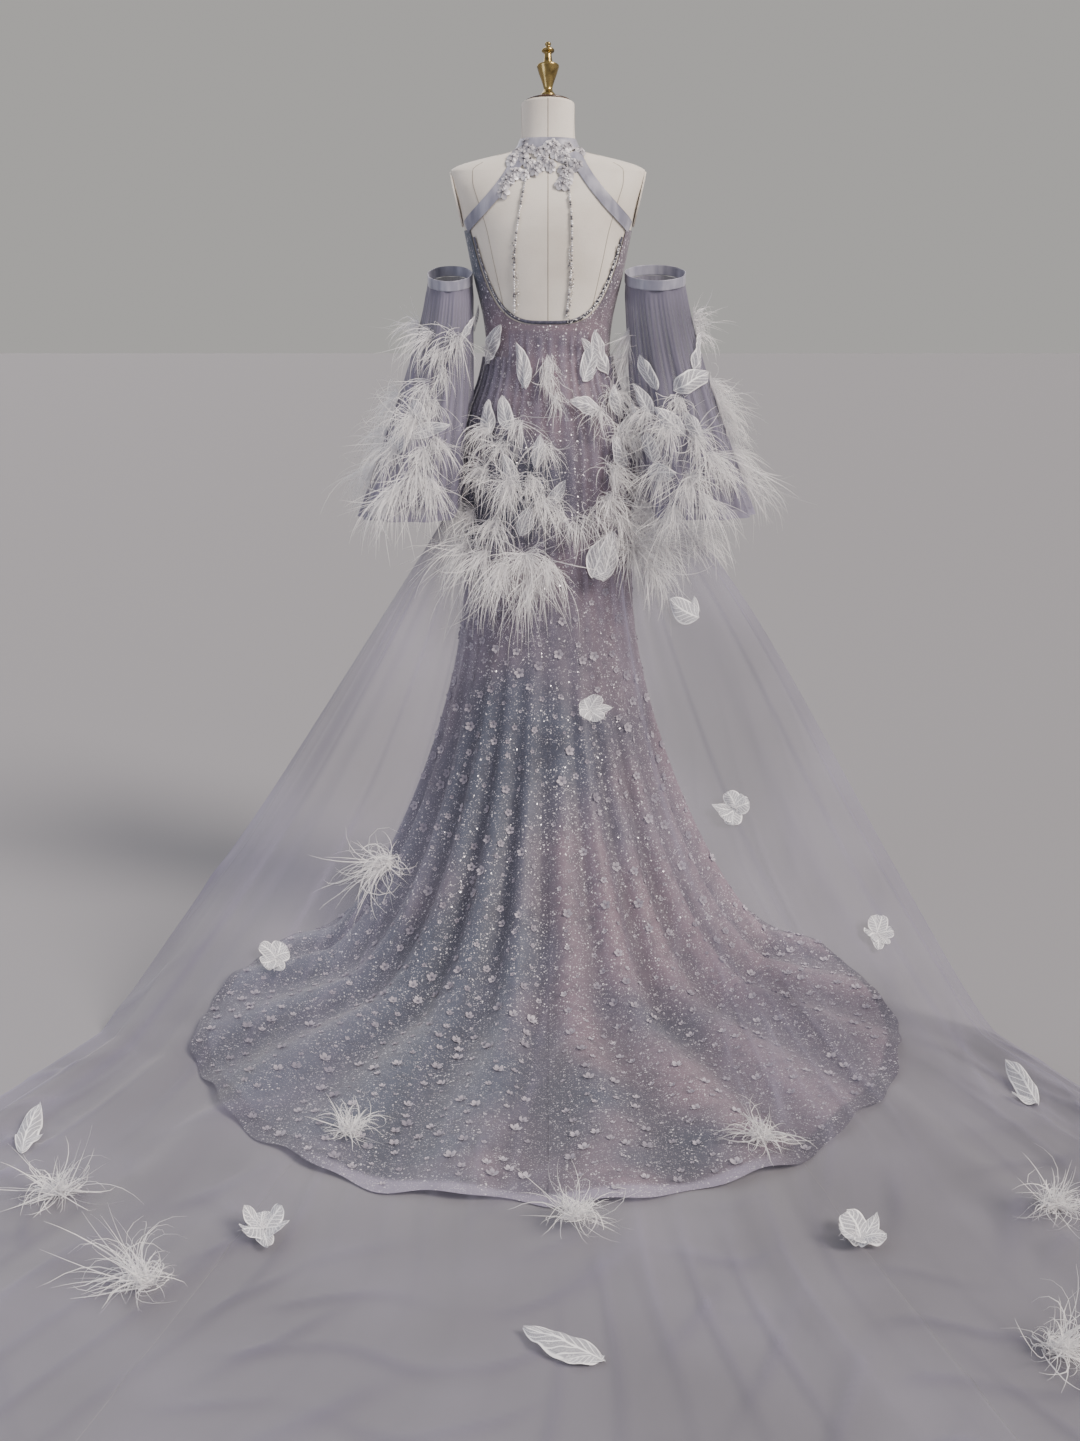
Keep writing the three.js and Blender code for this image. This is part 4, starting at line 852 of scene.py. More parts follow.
def flatten_armholes(p):
    """Points past the two arm plates, pushed back on to them."""
    run, rise = ARM_TOP[0] - ARM_LOW[0], ARM_TOP[1] - ARM_LOW[1]
    normal = np.array([rise, 0, -run]) / math.hypot(run, rise)
    middle = np.array([(ARM_TOP[0] + ARM_LOW[0]) / 2, 0, (ARM_TOP[1] + ARM_LOW[1]) / 2])
    side = np.sign(p[..., :1])
    folded = p * np.concatenate([side, np.ones_like(side), np.ones_like(side)], axis=-1)
    past = np.maximum((folded - middle) @ normal, 0) * (np.abs(p[..., 2] - middle[2]) < ARM_REACH)
    folded = folded - past[..., None] * normal
    folded[..., 0] *= side[..., 0]
    return folded


SHOULDER_Z = 1500
torso_z = np.concatenate([np.arange(FORM_FOOT_Z, SHOULDER_Z, 9),
                          np.arange(SHOULDER_Z, NECK_FOOT_Z, 1.2),
                          np.linspace(NECK_FOOT_Z, NECK_TOP_Z, 16)])
torso_deg = np.arange(0, 360, 2.5)
torso = flatten_armholes(form_point(torso_deg[None, :], torso_z[:, None]))
foot = torso[:1] * [0.02, 0.02, 1]
crown = torso[-1:].mean(axis=1, keepdims=True) + (torso[-1:] - torso[-1:].mean(axis=1)) * 0.02
torso = np.concatenate([foot, torso, crown])
form_skin = add_grid("form_skin", torso, linen, "linen", ["form_torso"], ring=True)


def form_seam(name, deg, z, wide, lift):
    """A thin raised line of thread along a path of degrees and heights on the form."""
    p = flatten_armholes(form_point(deg, z))
    along = unit(np.gradient(p, axis=0))
    around = form_point(deg + 1, z) - form_point(deg - 1, z)
    upward = form_point(deg, z + 1) - form_point(deg, z - 1)
    away = unit(np.cross(around, upward))
    across = np.cross(along, away)
    off = np.array([-0.5, -0.25, 0, 0.25, 0.5]) * wide
    rise = lift * np.array([0.1, 0.8, 1, 0.8, 0.1])
    grid = p[:, None] + across[:, None] * off[None, :, None] + away[:, None] * rise[None, :, None]
    add_grid(name, grid, seam_thread, "linen")


WAIST_Z, BLADE_TOP_Z, NECK_SEAM_Z, SEAM_TOP_Z = 1180, 1522, 1535, 1628
t = np.linspace(0, 1, 60)
form_seam("seam_back", 0 * t, mix(WAIST_Z, SEAM_TOP_Z, t), 1.8, 0.5)
for side, word in ((-1, "left"), (1, "right")):
    blade_deg = side * mix(38, 47, smooth(t, 0, 1))
    form_seam("seam_blade_" + word, blade_deg, mix(WAIST_Z, BLADE_TOP_Z, t), 1.6, 0.45)
    neck_deg = side * mix(60, 88, t)
    form_seam("seam_neck_" + word, neck_deg, mix(NECK_SEAM_Z, SEAM_TOP_Z, t), 1.4, 0.4)
    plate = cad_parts["form_armhole_" + word]
    plate.data.materials.clear()
    plate.data.materials.append(linen.material)

# %% [markdown]
# The neck's disc and its brass finial are turned on a lathe, and so are the pole and the iron
# foot. A lathe is a profile of radii and heights spun round an axis.

# %% Turned pieces
STEPS_BETWEEN = 4


def turned(name, profile, finish, slot, replaced, base=(0, 0, 0), tilt=0.0, sides=48):
    """A profile of radii and heights, its corners rounded a little, spun round its axis."""
    r, h = np.array(profile, float).T
    steps = np.linspace(0, len(r) - 1, (len(r) - 1) * STEPS_BETWEEN + 1)
    r, h = np.interp(steps, range(len(r)), r), np.interp(steps, range(len(h)), h)
    blur = np.array([0.25, 0.5, 0.25])
    r[1:-1], h[1:-1] = np.convolve(r, blur, "valid"), np.convolve(h, blur, "valid")
    a = np.linspace(0, 2 * np.pi, sides, endpoint=False)
    p = vec(r[:, None] * np.cos(a), r[:, None] * np.sin(a), h[:, None] + 0 * a)
    c, s = math.cos(tilt), math.sin(tilt)
    p = np.stack([p[..., 0], p[..., 1] * c + p[..., 2] * s, -p[..., 1] * s + p[..., 2] * c], axis=-1)
    p += base
    add_grid(name, p, finish, slot, [replaced], ring=True)


neck_top = (0, float(read(BODY, "z", "mid", NECK_TOP_Z)), NECK_TOP_Z)
disc_profile = [(0.1, 0.4), (43, 0.4), (46, 1.6), (46, 4), (43.5, 6), (20, 6.4), (0.1, 6.4)]
turned("neck_disc", disc_profile, dark_wood, "dark_wood", "form_cap", neck_top, NECK_TILT)
finial_profile = [
    (0.1, 6.6), (14.6, 6.6), (15, 9), (13, 11), (14.6, 13), (15, 19), (11, 24), (8.6, 28), (8.4, 32),
    (9.6, 38), (13, 48), (17, 59), (19.6, 68), (21, 72), (21, 75), (18, 76), (10, 77.5), (9, 80),
    (7.6, 88), (6.6, 97), (8, 99), (12, 101.5), (12, 105), (8, 108), (5, 110), (4.6, 112),
    (5.6, 114.5), (5.8, 117), (4.2, 119.2), (0.1, 119.6),
]
turned("finial", finial_profile, brass, "brass", "form_finial", neck_top, NECK_TILT)
pole_profile = [(0.1, 24.5), (22, 24.5), (22, 58), (19, 63), (14, 66), (14, 847.5), (0.1, 847.5)]
turned("pole", pole_profile, iron, "dark_metal", "stand_pole")
foot_profile = [(0.1, 0), (161, 0), (165, 3), (165, 9), (150, 12), (120, 15), (40, 23.5), (0.1, 24)]
turned("stand_foot", foot_profile, iron, "dark_metal", "stand_base", sides=96)

# %% [markdown]
# The gown is cut in three panels that meet at the sides and down the middle of the back. Its
# top edge follows the low U of the back and the halter in front. Below the knee the godets
# stand up as soft radial folds; between them the sewn sequins pull the cloth into small uneven
# ripples, which are sums of a few waves.

# %% The gown
UNDERARM_Z = 1400
LOW_BACK_Z = 1225
LOW_BACK_HALF = 146
LOW_BACK_POWER = 3.7
# The halter's edge in front: half width at each height
HALTER = table("z x", (1400, 162), (1412, 132), (1435, 108), (1470, 88), (1505, 74), (1546, 60))


def low_back(x):
    """Height of the back's U at each x."""
    rise = (np.abs(x) / LOW_BACK_HALF) ** LOW_BACK_POWER
    return LOW_BACK_Z + (UNDERARM_Z - LOW_BACK_Z) * rise


def s_of(z):
    """The gown's s at a height above the knee."""
    return (COLLAR_Z - SEAM - z) / (COLLAR_Z - SEAM - KNEE_Z)


def top_of_gown(deg):
    """Height of the cloth's top edge at each column."""
    z = np.arange(1200, COLLAR_Z, 0.5)
    x = np.abs(body_point(deg[:, None], z[None, :], ON_FORM)[..., 0])
    behind = np.abs(deg) <= 90
    back = z[None, :] > np.minimum(low_back(x), UNDERARM_Z)
    front = (z[None, :] >= UNDERARM_Z) & (x > read(HALTER, "z", "x", z)[None, :])
    cut = np.where(behind[:, None], back, front)
    cut[:, -1] = True
    return z[np.argmax(cut, axis=1)]


def ridged(phase, sharp):
    """A wave with soft narrow crests, from 0 to 1."""
    return (0.5 + 0.5 * np.cos(phase)) ** sharp


def ripple(deg, s):
    """Small ripples between the folds, from slow and quick waves; they lie lower on the floor."""
    a = np.radians(deg)
    slow = np.sin(a * 37 + 2.2 * np.sin(1.7 * s) + 0.8 * np.sin(a * 9))
    quick = np.sin(a * 61 + 1.1 * np.sin(3.1 * s))
    height = 1.5 * (1 + slow) + 0.8 * (1 + quick)
    return height * smooth(s, 1.05, 1.7) * mix(1, 0.3, smooth(s, 2, 2.4))


ROWS_CLOSER_BELOW = 0.86


def gown_cloth(deg, rows):
    """The cloth's points from its top edge to its wavy hem, and how far down each one is."""
    top = s_of(top_of_gown(deg))
    t = np.linspace(0, 1, rows)[:, None]
    hem = 3 + 0.012 * np.sin(np.radians(deg) * 23) + 0.01 * np.sin(np.radians(deg) * 57 + 1)
    s = top[None, :] + (hem - top)[None, :] * t**ROWS_CLOSER_BELOW
    return gown_point(deg[None, :] + 0 * s, s, CLOTH + ripple(deg[None, :], s)), s


# Each panel: its first and last degree round the body, its columns and its rows
PANELS = {
    "gown_back_left": (-90, 0, 150, 190),
    "gown_back_right": (0, 90, 150, 190),
    "gown_front": (90, 270, 170, 120),
}
SEAM_DEG = 0.02
FOLD_USUAL = 18
gown_grids = {}
for node, (start, end, columns, rows) in PANELS.items():
    deg = np.linspace(start + SEAM_DEG, end - SEAM_DEG, columns)
    points, s = gown_cloth(deg, rows)
    gown_grids[node] = points
    # Painted shade: how deep each point lies in a trough between the godets, plus soft stripes across
    # the train on the floor.
    deep = 1 - fold_lift(deg[None, :] + 0 * s, s) / (FOLD_USUAL * np.maximum(fold_rise(s), 0.01))
    trough = np.clip(deep, 0, 1) * smooth(s, 1.0, 1.6)
    a = np.radians(deg)[None, :]
    laid_stripe_shade = ridged(a * 10 + 0.7 * np.sin(a * 7) + 0.35 * np.sin(2.4 * s), 7) * smooth(s, 1.9, 2.3)
    trough = np.clip(trough + 1.1 * laid_stripe_shade * (1 - smooth(s, 2.75, 2.95)), 0, 1.2)
    middle = 1 - smooth(np.abs(deg), 14, 22)
    panel = add_grid(node.replace("gown", "panel"), points, sequins, "sequin_cloth", [node],
                     trough=trough, hem=smooth(s, 2.93, 2.96) * middle,
                     rim=smooth(s, 2.9, 2.93) * (1 - middle) * (np.abs(deg) < 100))
    declare_sheet(panel, points)

# %% [markdown]
# The net overtrain is cut in three gores. Each one is a single layer, gathered at the hips and
# creased in long soft waves where it lies on the floor. Its turned edges and its gathers are
# denser, because there the net lies on itself, and so are a few long creases.

# %% The net overtrain
TURNED = 0.075
GATHER_WAVES = 71.4
NET_DENSE, DENSEST = 0.3, 0.92


def net_crease(u, v):
    """Soft uneven creases on the floor and in the air, upward only, in millimetres."""
    bend = 1.5 * np.sin(v * 2.6 + u * 3) + 0.8 * np.sin(v * 6.3 - u * 5 + 1)
    worn = smooth(v, 1.2, 2.0)
    here = ridged(v * 7 + u * 11 + np.sin(u * 19), 2)
    there = ridged(v * 5 - u * 14 + 2 + np.sin(v * 8), 2.5)
    along = ridged(u * 97 + 3.4 * bend, 7) * (0.15 + here)
    slant = ridged(u * 44 + v * 29 + 1.9 * np.sin(u * 11 + v * 4), 12) * there
    cross = ridged(v * 61 + 3.6 * np.sin(u * 6) + 1.8 * np.sin(u * 23 + v * 5), 8)
    cross = cross * ridged(u * 9 + v * 8 + 1.5 * np.sin(u * 21), 2.2) * smooth(v, 2.1, 2.35)
    return worn * (3.6 * along + 4.4 * slant + 4.4 * cross)


# Long creases: place and half width in u, how much denser, and the v of their start and end
NET_LINES = table(
    "u half dark start end",
    (-0.865, 0.011, 0.26, 0.9, 2.5), (-0.7, 0.008, 0.2, 1.0, 2.1), (-0.56, 0.009, 0.16, 1.0, 2.0),
    (-0.8, 0.02, 0.1, 1.1, 2.6), (-0.9, 0.03, 0.3, 0.2, 1.9), (-0.99, 0.02, 0.3, 0.2, 2.0),
    (0.46, 0.012, 0.26, 1.0, 1.9), (0.66, 0.007, 0.2, 1.1, 2.0), (0.86, 0.008, 0.22, 0.9, 2.5),
    (0.78, 0.02, 0.09, 1.2, 2.4), (0.93, 0.006, 0.16, 1.0, 2.8),
)


def net_lines(u, v):
    """Long creases from hip to floor: how much denser the net looks along them."""
    dark = 0.0 * (u + v)
    for centre, half, most, start, end in zip(*NET_LINES.values()):
        wander = centre + 0.006 * np.sin(v * 5 + centre * 20)
        span = smooth(v, start, start + 0.15) * (1 - smooth(v, end - 0.5, end))
        dark = np.maximum(dark, most * span * np.exp(-(((u - wander) / half) ** 2)))
    return dark


def net_gather(u, v):
    """Close upright gathers over the hips, which die away down the net."""
    wave = np.sin(u * GATHER_WAVES + 0.9 * np.sin(u * 31) + 0.6 * np.sin(v * 5))
    return 2.4 * (1 + wave) * (1 - smooth(v, 0.9, 1.5)) * smooth(v, -0.02, 0.08)


def net_cloth(u0, u1, v0, columns, rows):
    """A gore's points, and how dense the net is at each: its share that isn't air."""
    u = np.linspace(u0, u1, columns)[None, :]
    t = np.linspace(0, 1, rows)[:, None]
    v = np.where(t < 1, v0 + (3 - v0) * t**0.92, 3.0)
    u, v = np.broadcast_arrays(u, v)
    crease, gather = net_crease(u, v), net_gather(u, v)
    over_skirt = (1 - smooth(np.abs(u), 0.3, 0.45)) * (1 - smooth(v, 2.1, 2.35))
    dense = NET_DENSE - 0.14 * over_skirt + 0.036 * crease + 0.055 * gather * (v < 1.6)
    dense = dense + net_lines(u, v)
    edge = 1 - np.abs(u)
    turned_in = smooth(TURNED - edge, 0, 0.004)
    dense = dense + 0.16 * turned_in + 0.2 * smooth(0.006 - edge, 0, 0.004)
    dense = dense + 0.2 * smooth(v, 2.985, 2.995)
    return net_point(u, v, NET + crease + gather + turned_in * 0.8), np.clip(dense, 0, DENSEST)


GORE_GAP = 0.0004
WING_TOP_Z = 1165
WING_V = (NET_TOP_Z - WING_TOP_Z) / (NET_TOP_Z - NET_HIP_Z)
# Each gore: u from and to, v of its top edge, its columns and its rows
NET_GORES = {
    "net_middle": (-GORE + GORE_GAP, GORE - GORE_GAP, 0.0, 160, 280),
    "net_wing_left": (-1.0, -GORE - GORE_GAP, WING_V, 140, 240),
    "net_wing_right": (GORE + GORE_GAP, 1.0, WING_V, 140, 240),
}
for node, span in NET_GORES.items():
    points, dense = net_cloth(*span)
    gore = add_grid(node.replace("net", "overtrain"), points, net, "net", [node], dense=dense)
    declare_sheet(gore, points)

# %% [markdown]
# Each sleeve is a ring of net. It is gathered under its satin band, so the folds are tight at
# the top and open out towards the hem, where a narrow ribbon weighs it down; the ribbon is drawn
# as a denser strip of the net.

# %% Sleeves and bands
SLEEVE_RIPPLE = 0.7


def sleeve_ripple(turn, t):
    """Small upright folds, fine under the band and wide towards the hem."""
    a = np.radians(turn)
    fine = np.sin(a * 44 + 1.3 * np.sin(a * 5)) * (1 - smooth(t, 0.25, 0.8))
    wide = np.sin(a * 23 + 1.5 * np.sin(a * 3 + t * 2)) * smooth(t, 0.05, 0.4)
    return 1.3 * (1 + fine) * smooth(t, -0.01, 0.06) + 1.9 * (1 + wide)


BAND_THICK = 1.4
BAND_LIFT, BAND_WALL = 2.6, 3.0
# The band's rows in mm down the sleeve from its top edge; it stands above that edge
BAND_ROWS = np.array([-0.4, -2, -6, -10, -14, -18, -BAND_TALL + 0.4])
for word, cut in SLEEVES.items():
    turn = np.arange(0, 360, 2.0)[None, :]
    t = np.linspace(0, 1, 100)[:, None]
    turn, t = np.broadcast_arrays(turn, t)
    rise = sleeve_ripple(turn, t)
    outer = sleeve_point(word, turn, t, NET)
    inner = sleeve_point(word, turn, t, 0.0)
    points = outer + unit(outer - inner) * rise[..., None] * SLEEVE_RIPPLE
    dense = 0.36 + 0.1 * rise + 0.25 * (1 - smooth(t, 0, 0.12)) + 0.3 * smooth(t, 0.975, 0.98)
    sleeve = add_grid("net_sleeve_" + word, points, net, "net", ["sleeve_" + word], ring=True,
                      dense=np.clip(dense, 0, 0.9))
    declare_sheet(sleeve, points, ring=True)

    top_z, hem_z = cut["top"][2], cut["hem"][2]
    t = BAND_ROWS / (top_z - hem_z)
    turns = np.arange(0, 360, 2.5)
    turn, t = np.broadcast_arrays(turns[None, :], t[:, None])
    crease = 0.6 * np.sin(np.radians(turn * 7 + 60 * np.sin(np.radians(turn * 2)))) + 0.6
    points = sleeve_point(word, turn, t, BAND_LIFT + crease, BAND_WALL)
    band = add_grid("band_" + word, points, satin, "satin", ["sleeve_band_" + word], ring=True)
    shell = band.modifiers.new("shell", "SOLIDIFY")
    shell.thickness = BAND_THICK * MM
    declare_sheet(band, points, ring=True)

# %% [markdown]
# Satin straps run from the collar to the ends of the back's U, and a dark binding finishes the
# U. They are ribbons that follow the skin: each point across the ribbon is found on the form
# again, so a ribbon bends with it and never cuts in.

# %% Collar, straps and binding
def back_ribbon(name, x, z, wide, lift, finish, replaced, steps=9, crown=0.6, folds=0.0):
    """A ribbon on the form's back along a path; wide and lift may vary along it."""
    x, z = np.asarray(x, float), np.asarray(z, float)
    wide = np.broadcast_to(wide, x.shape)
    lift = np.broadcast_to(lift, x.shape)
    path = on_back(x, z, lift)
    along = unit(np.gradient(path, axis=0))
    away = unit(on_back(x, z, lift + 1.0) - path)
    side = np.cross(along, away)
    off = np.linspace(-0.5, 0.5, steps)[None, :] * wide[:, None]
    px, pz = x[:, None] + side[:, None, 0] * off, z[:, None] + side[:, None, 2] * off
    bulge = crown * (1 - (off / wide[:, None] * 2) ** 2)
    bulge = bulge + folds * (1 + np.sin(off * 1.9 + np.linspace(0, 5, len(x))[:, None]))
    grid = on_back(px, pz, lift[:, None] + bulge)
    return add_grid(name, grid, finish, "satin", [replaced]), grid


collar_z = np.array([1548.4, 1550, 1554, 1558, 1562, 1566, 1567.6])
collar_rise = np.array([1.5, 2.5, 2.9, 3.0, 2.9, 2.4, 1.5])
collar_deg = np.arange(0, 360, 2.5)
collar = body_point(collar_deg[None, :], collar_z[:, None], collar_rise[:, None])
collar_piece = add_grid("collar", collar, satin, "satin", ["halter_collar"], ring=True)
declare_sheet(collar_piece, collar, ring=True)

STRAP_WIDE = 23
for side, word in ((-1, "left"), (1, "right")):
    t = np.linspace(-0.03, 1.07, 76)
    strap_x = side * (mix(50, 146, t) - 9 * np.sin(np.pi * np.clip(t, 0, 1)))
    strap_z = mix(1534, 1414, t)
    strap_lift = 2.2 + 1.4 * smooth(strap_z, 1490, 1530)
    strap, grid = back_ribbon("satin_strap_" + word, strap_x, strap_z, STRAP_WIDE, strap_lift, satin,
                              "strap_" + word, steps=15, crown=0.3, folds=0.5)
    declare_sheet(strap, grid)

U_HALF = 142
U_EVEN = 0.75
BINDING_WIDE = 6.5
BINDING_IN, BINDING_UP = 4.6, 3.4
t = np.linspace(-1, 1, 260)
u_x = U_HALF * signed_power(t, U_EVEN)
u_z = low_back(u_x)
slope = np.gradient(u_z) / np.maximum(np.abs(np.gradient(u_x)), 1e-6) * np.sign(u_x)
tilt = slope / np.hypot(slope, 1)
bind_x = u_x - np.sign(u_x) * BINDING_IN * np.abs(tilt)
bind_z = u_z + BINDING_IN * np.sqrt(1 - tilt**2) + BINDING_UP * np.abs(tilt)
dark_satin = Finish("dark_satin", Sheen_Weight=0.3)
dark_streak = dark_satin.noise(200, 3)
dark_tone = dark_satin.between(dark_streak, 0.4, 0.7)
dark_tone = dark_satin.blend(tint("3d3d4d"), tint("5a5a6e"), dark_tone)
dark_satin.surface(Base_Color=dark_tone, Roughness=0.4 + dark_streak * 0.15)
binding_lift = 1.4 + 1.4 * smooth(np.abs(u_x), 120, 140)
back_ribbon("u_binding", bind_x, bind_z, BINDING_WIDE, binding_lift, dark_satin, "neckline_binding",
            crown=1.4)

# %% [markdown]
# Crystals edge the U, and beaded strands hang from the collar over the bare back. Every bead is
# a small ball with a few faces, laid along its path at an even spacing. Each path says how far
# it lies off the skin, then its beads' spacing, radius and scatter, all in mm.

# %% Beads
def ball():
    """A small ball of 20 faces: its corners and triangles."""
    g = (1 + 5**0.5) / 2
    corners = [(-1, g, 0), (1, g, 0), (-1, -g, 0), (1, -g, 0), (0, -1, g), (0, 1, g), (0, -1, -g),
               (0, 1, -g), (g, 0, -1), (g, 0, 1), (-g, 0, -1), (-g, 0, 1)]
    faces = [(0, 11, 5), (0, 5, 1), (0, 1, 7), (0, 7, 10), (0, 10, 11), (1, 5, 9), (5, 11, 4),
             (11, 10, 2), (10, 7, 6), (7, 1, 8), (3, 9, 4), (3, 4, 2), (3, 2, 6), (3, 6, 8), (3, 8, 9),
             (4, 9, 5), (2, 4, 11), (6, 2, 10), (8, 6, 7), (9, 8, 1)]
    return unit(np.array(corners, float)), np.array(faces)


dice = np.random.default_rng(12)
DULL_BEADS = 0.3


def bead_row(name, centres, radii, replaced=()):
    """Beads at their centres, some of them dull."""
    corners, faces = ball()
    copies = centres[:, None] + corners[None] * radii[:, None, None]
    shade = np.where(dice.random(len(centres)) < DULL_BEADS, 0.1, dice.uniform(0.6, 1, len(centres)))
    shade = np.repeat(shade, len(corners))
    add_piece(name, *many(faces, copies), bead, "beads", replaced, tone=shade)


def even_steps(points, spacing):
    """Indices of points that lie about one spacing apart along a path."""
    run = np.concatenate([[0], np.cumsum(np.linalg.norm(np.diff(points, axis=0), axis=-1))])
    return np.searchsorted(run, np.arange(spacing / 2, run[-1], spacing))


def crystal_path(name, x, z, lift, spacing, radius, scatter, replaced=()):
    """Beads along a path on the back, scattered a little to its sides."""
    steps = even_steps(on_back(x, z, lift + 0 * x), spacing)
    x, z = x[steps], z[steps]
    x = x + dice.uniform(-scatter, scatter, len(x))
    z = z + dice.uniform(-scatter, scatter, len(z))
    radii = radius * dice.uniform(0.75, 1.2, len(x))
    bead_row(name, on_back(x, z, lift + radii), radii, replaced)


# Each strand: x at its top and at its foot, and how far it bows out to the side
STRANDS = {"left": (-31, -62, -12), "right": (31, 34, 12)}
STRAND_TOP_Z = 1529
STRAND_FOOT_UP = 13
SPARKLE_FROM = 0.55
for word, (x0, x1, bow) in STRANDS.items():
    t = np.linspace(0, 1, 700)
    x = mix(x0, x1, t) + bow * np.sin(np.pi * t)
    z = mix(STRAND_TOP_Z, float(low_back(np.array(x1))) + STRAND_FOOT_UP, t)
    crystal_path("beads_" + word, x, z, 1.2, 4.4, 2.5, 0.4, ["beads_" + word])
    low = t > SPARKLE_FROM
    crystal_path("sparkle_" + word, (x + 5 * np.sin(9 * t))[low], z[low], 1.0, 2.0, 1.5, 4.0)

EDGE_HALF = 139
edge_x = EDGE_HALF * signed_power(np.linspace(-1, 1, 2400), U_EVEN)
edge_z = low_back(edge_x)
right = edge_x > 42
left = edge_x < -60
crystal_path("edge_right", (edge_x - 6)[right], (edge_z + 5)[right], 3.4, 1.7, 1.8, 2.8)
crystal_path("edge_left", (edge_x + 7)[left], (edge_z + 4)[left], 3.2, 3.1, 1.2, 1.2)

# %% [markdown]
# Appliqué flowers of silver lace cover the nape, and small blossoms are scattered over the
# skirt. Each has five cupped petals, and every one is turned, scaled and shaded differently.

# %% Blossoms
BLOOM_PETALS = 5
BLOOM_HEART = 0.16


def bloom(across, along):
    """A flower of unit radius: points, triangles and how pale each point is."""
    points, faces, tones = [], [], []
    for k in range(BLOOM_PETALS):
        start = len(points)
        middle = 2 * np.pi * k / BLOOM_PETALS
        for j in range(along + 1):
            r = mix(BLOOM_HEART, 1, j / along)
            spread = 0.66 * math.sin(math.pi * (0.18 + 0.62 * j / along)) ** 0.8
            for i in range(across):
                side = 2 * i / (across - 1) - 1
                a = middle + spread * side
                lip = 0.34 * r * r - 0.16 * side**2
                reach = r * (1 - 0.14 * side**2 * (j == along))
                points.append((reach * math.cos(a), reach * math.sin(a), 0.1 + lip))
                tones.append(0.35 + 0.65 * r)
        for j in range(along):
            for i in range(across - 1):
                a = start + j * across + i
                faces += [(a, a + across, a + across + 1), (a, a + across + 1, a + 1)]
    return np.array(points), np.array(faces), np.array(tones)


def planted(name, frames, sizes, finish, slot, replaced=(), across=4, along=3):
    """One mesh of flowers, each turned at random round its stem."""
    centres, rights, downs, aways = frames
    shape, faces, tones = bloom(across, along)
    turn = dice.uniform(0, 2 * np.pi, len(centres))
    c, s = np.cos(turn)[:, None], np.sin(turn)[:, None]
    first, second = rights * c + downs * s, downs * c - rights * s
    copies = (first[:, None] * shape[None, :, :1] + second[:, None] * shape[None, :, 1:2]
              + aways[:, None] * shape[None, :, 2:])
    copies = centres[:, None] + copies * sizes[:, None, None]
    points, faces = many(faces, copies)
    shade = np.clip(tones[None] * dice.uniform(0.35, 1.15, (len(centres), 1)), 0, 1)
    add_piece(name, points, faces, finish, slot, replaced, tone=shade)


def grid_frames(points, rows, columns):
    """Places, rights, downs and aways of a grid at some of its points."""
    frames = [seat_at(points, j, i) for j, i in zip(rows, columns)]
    return [np.array(part) for part in zip(*frames)]


BLOSSOMS_APART = 30.0
BLOSSOM_TRIES = 9000
BLOSSOM_TOP_Z = 1180
BLOSSOM_LEAST, BLOSSOM_MORE = 3.4, 7.4
for node, points in gown_grids.items():
    rows, columns = points.shape[:2]
    tries = dice.permutation(rows * columns)[:BLOSSOM_TRIES]
    kept = np.zeros((0, 3))
    picks = []
    for k in tries:
        j, i = divmod(int(k), columns)
        spot = points[j, i]
        apart = BLOSSOMS_APART * dice.uniform(0.8, 1.6)
        close = (np.linalg.norm(kept - spot, axis=1) < apart).any()
        inside = 3 < j < rows - 4 and 2 < i < columns - 3
        if inside and spot[2] < BLOSSOM_TOP_Z and not close:
            kept = np.vstack([kept, spot])
            picks.append((j, i))
    picks = np.array(picks)
    frames = grid_frames(points, picks[:, 0], picks[:, 1])
    heights = frames[0][:, 2]
    sizes = BLOSSOM_LEAST + BLOSSOM_MORE * dice.random(len(picks)) ** 1.7
    sizes = sizes * mix(0.45, 1.0, 1 - smooth(heights, 600, 900))
    planted(node.replace("gown", "blossoms"), frames, sizes, blossom, "sequin_cloth", across=3, along=2)

# The flowers' pixels are those of an enlarged view, with its corner and how much it is enlarged
NAPE_CORNER, NAPE_ZOOM = (400, 30), 4.9
NAPE_COPIES, NAPE_SCATTER = 3, 9
NAPE_LIFT = 8.0
NAPE_FLOWERS = [
    (575, 575), (560, 600), (600, 610), (640, 560), (680, 600), (640, 640), (650, 690), (625, 655),
    (760, 580), (800, 580), (820, 620), (780, 620), (850, 640), (870, 660), (800, 690), (825, 690),
    (785, 735), (815, 735), (552, 640), (566, 690), (540, 700), (520, 740), (505, 775), (600, 560),
    (740, 560), (830, 565), (880, 560), (710, 585), (705, 640), (735, 660), (675, 655), (600, 700),
]
nape_x, nape_z = np.meshgrid(np.linspace(-110, 110, 221), np.linspace(1380, 1568, 190))
nape_grid = on_back(nape_x, nape_z, NAPE_LIFT + 0 * nape_x)
scattered = np.repeat(np.array(NAPE_FLOWERS, float), NAPE_COPIES, axis=0)
scattered = scattered + dice.normal(0, NAPE_SCATTER, scattered.shape)
spots = np.array([spot_on(nape_grid, np.array(NAPE_CORNER) + s / NAPE_ZOOM) for s in scattered])
centres, rights, downs, aways = grid_frames(nape_grid, spots[:, 0], spots[:, 1])
silver_lace = Finish("silver_lace", Roughness=0.45, Metallic=0.1)
silver_tone = silver_lace.blend(tint("65636f"), tint("ebe9ee"), silver_lace.value("tone"))
silver_lace.surface(Base_Color=silver_tone)
centres = centres + aways * dice.uniform(0, 4, (len(centres), 1))
planted("nape_flowers", (centres, rights, downs, aways), dice.uniform(8, 14, len(centres)), silver_lace,
        "organza", ["nape_motif"])
bead_row("nape_beads", centres + aways * 3.5, dice.uniform(1.3, 2.1, len(centres)))

# %% [markdown]
# Everything sewn on the net or on a sleeve is placed through a patch, which measures
# millimetres across and down from one spot of the cloth, and up from its face. A spot is found
# by its place in the room or by its pixel in the photograph.

# %% Patches of cloth to sew on
def net_top(u, v, up):
    """The net's creased face, lifted by up."""
    return net_point(u, v, NET + net_crease(u, v) + net_gather(u, v) + up)


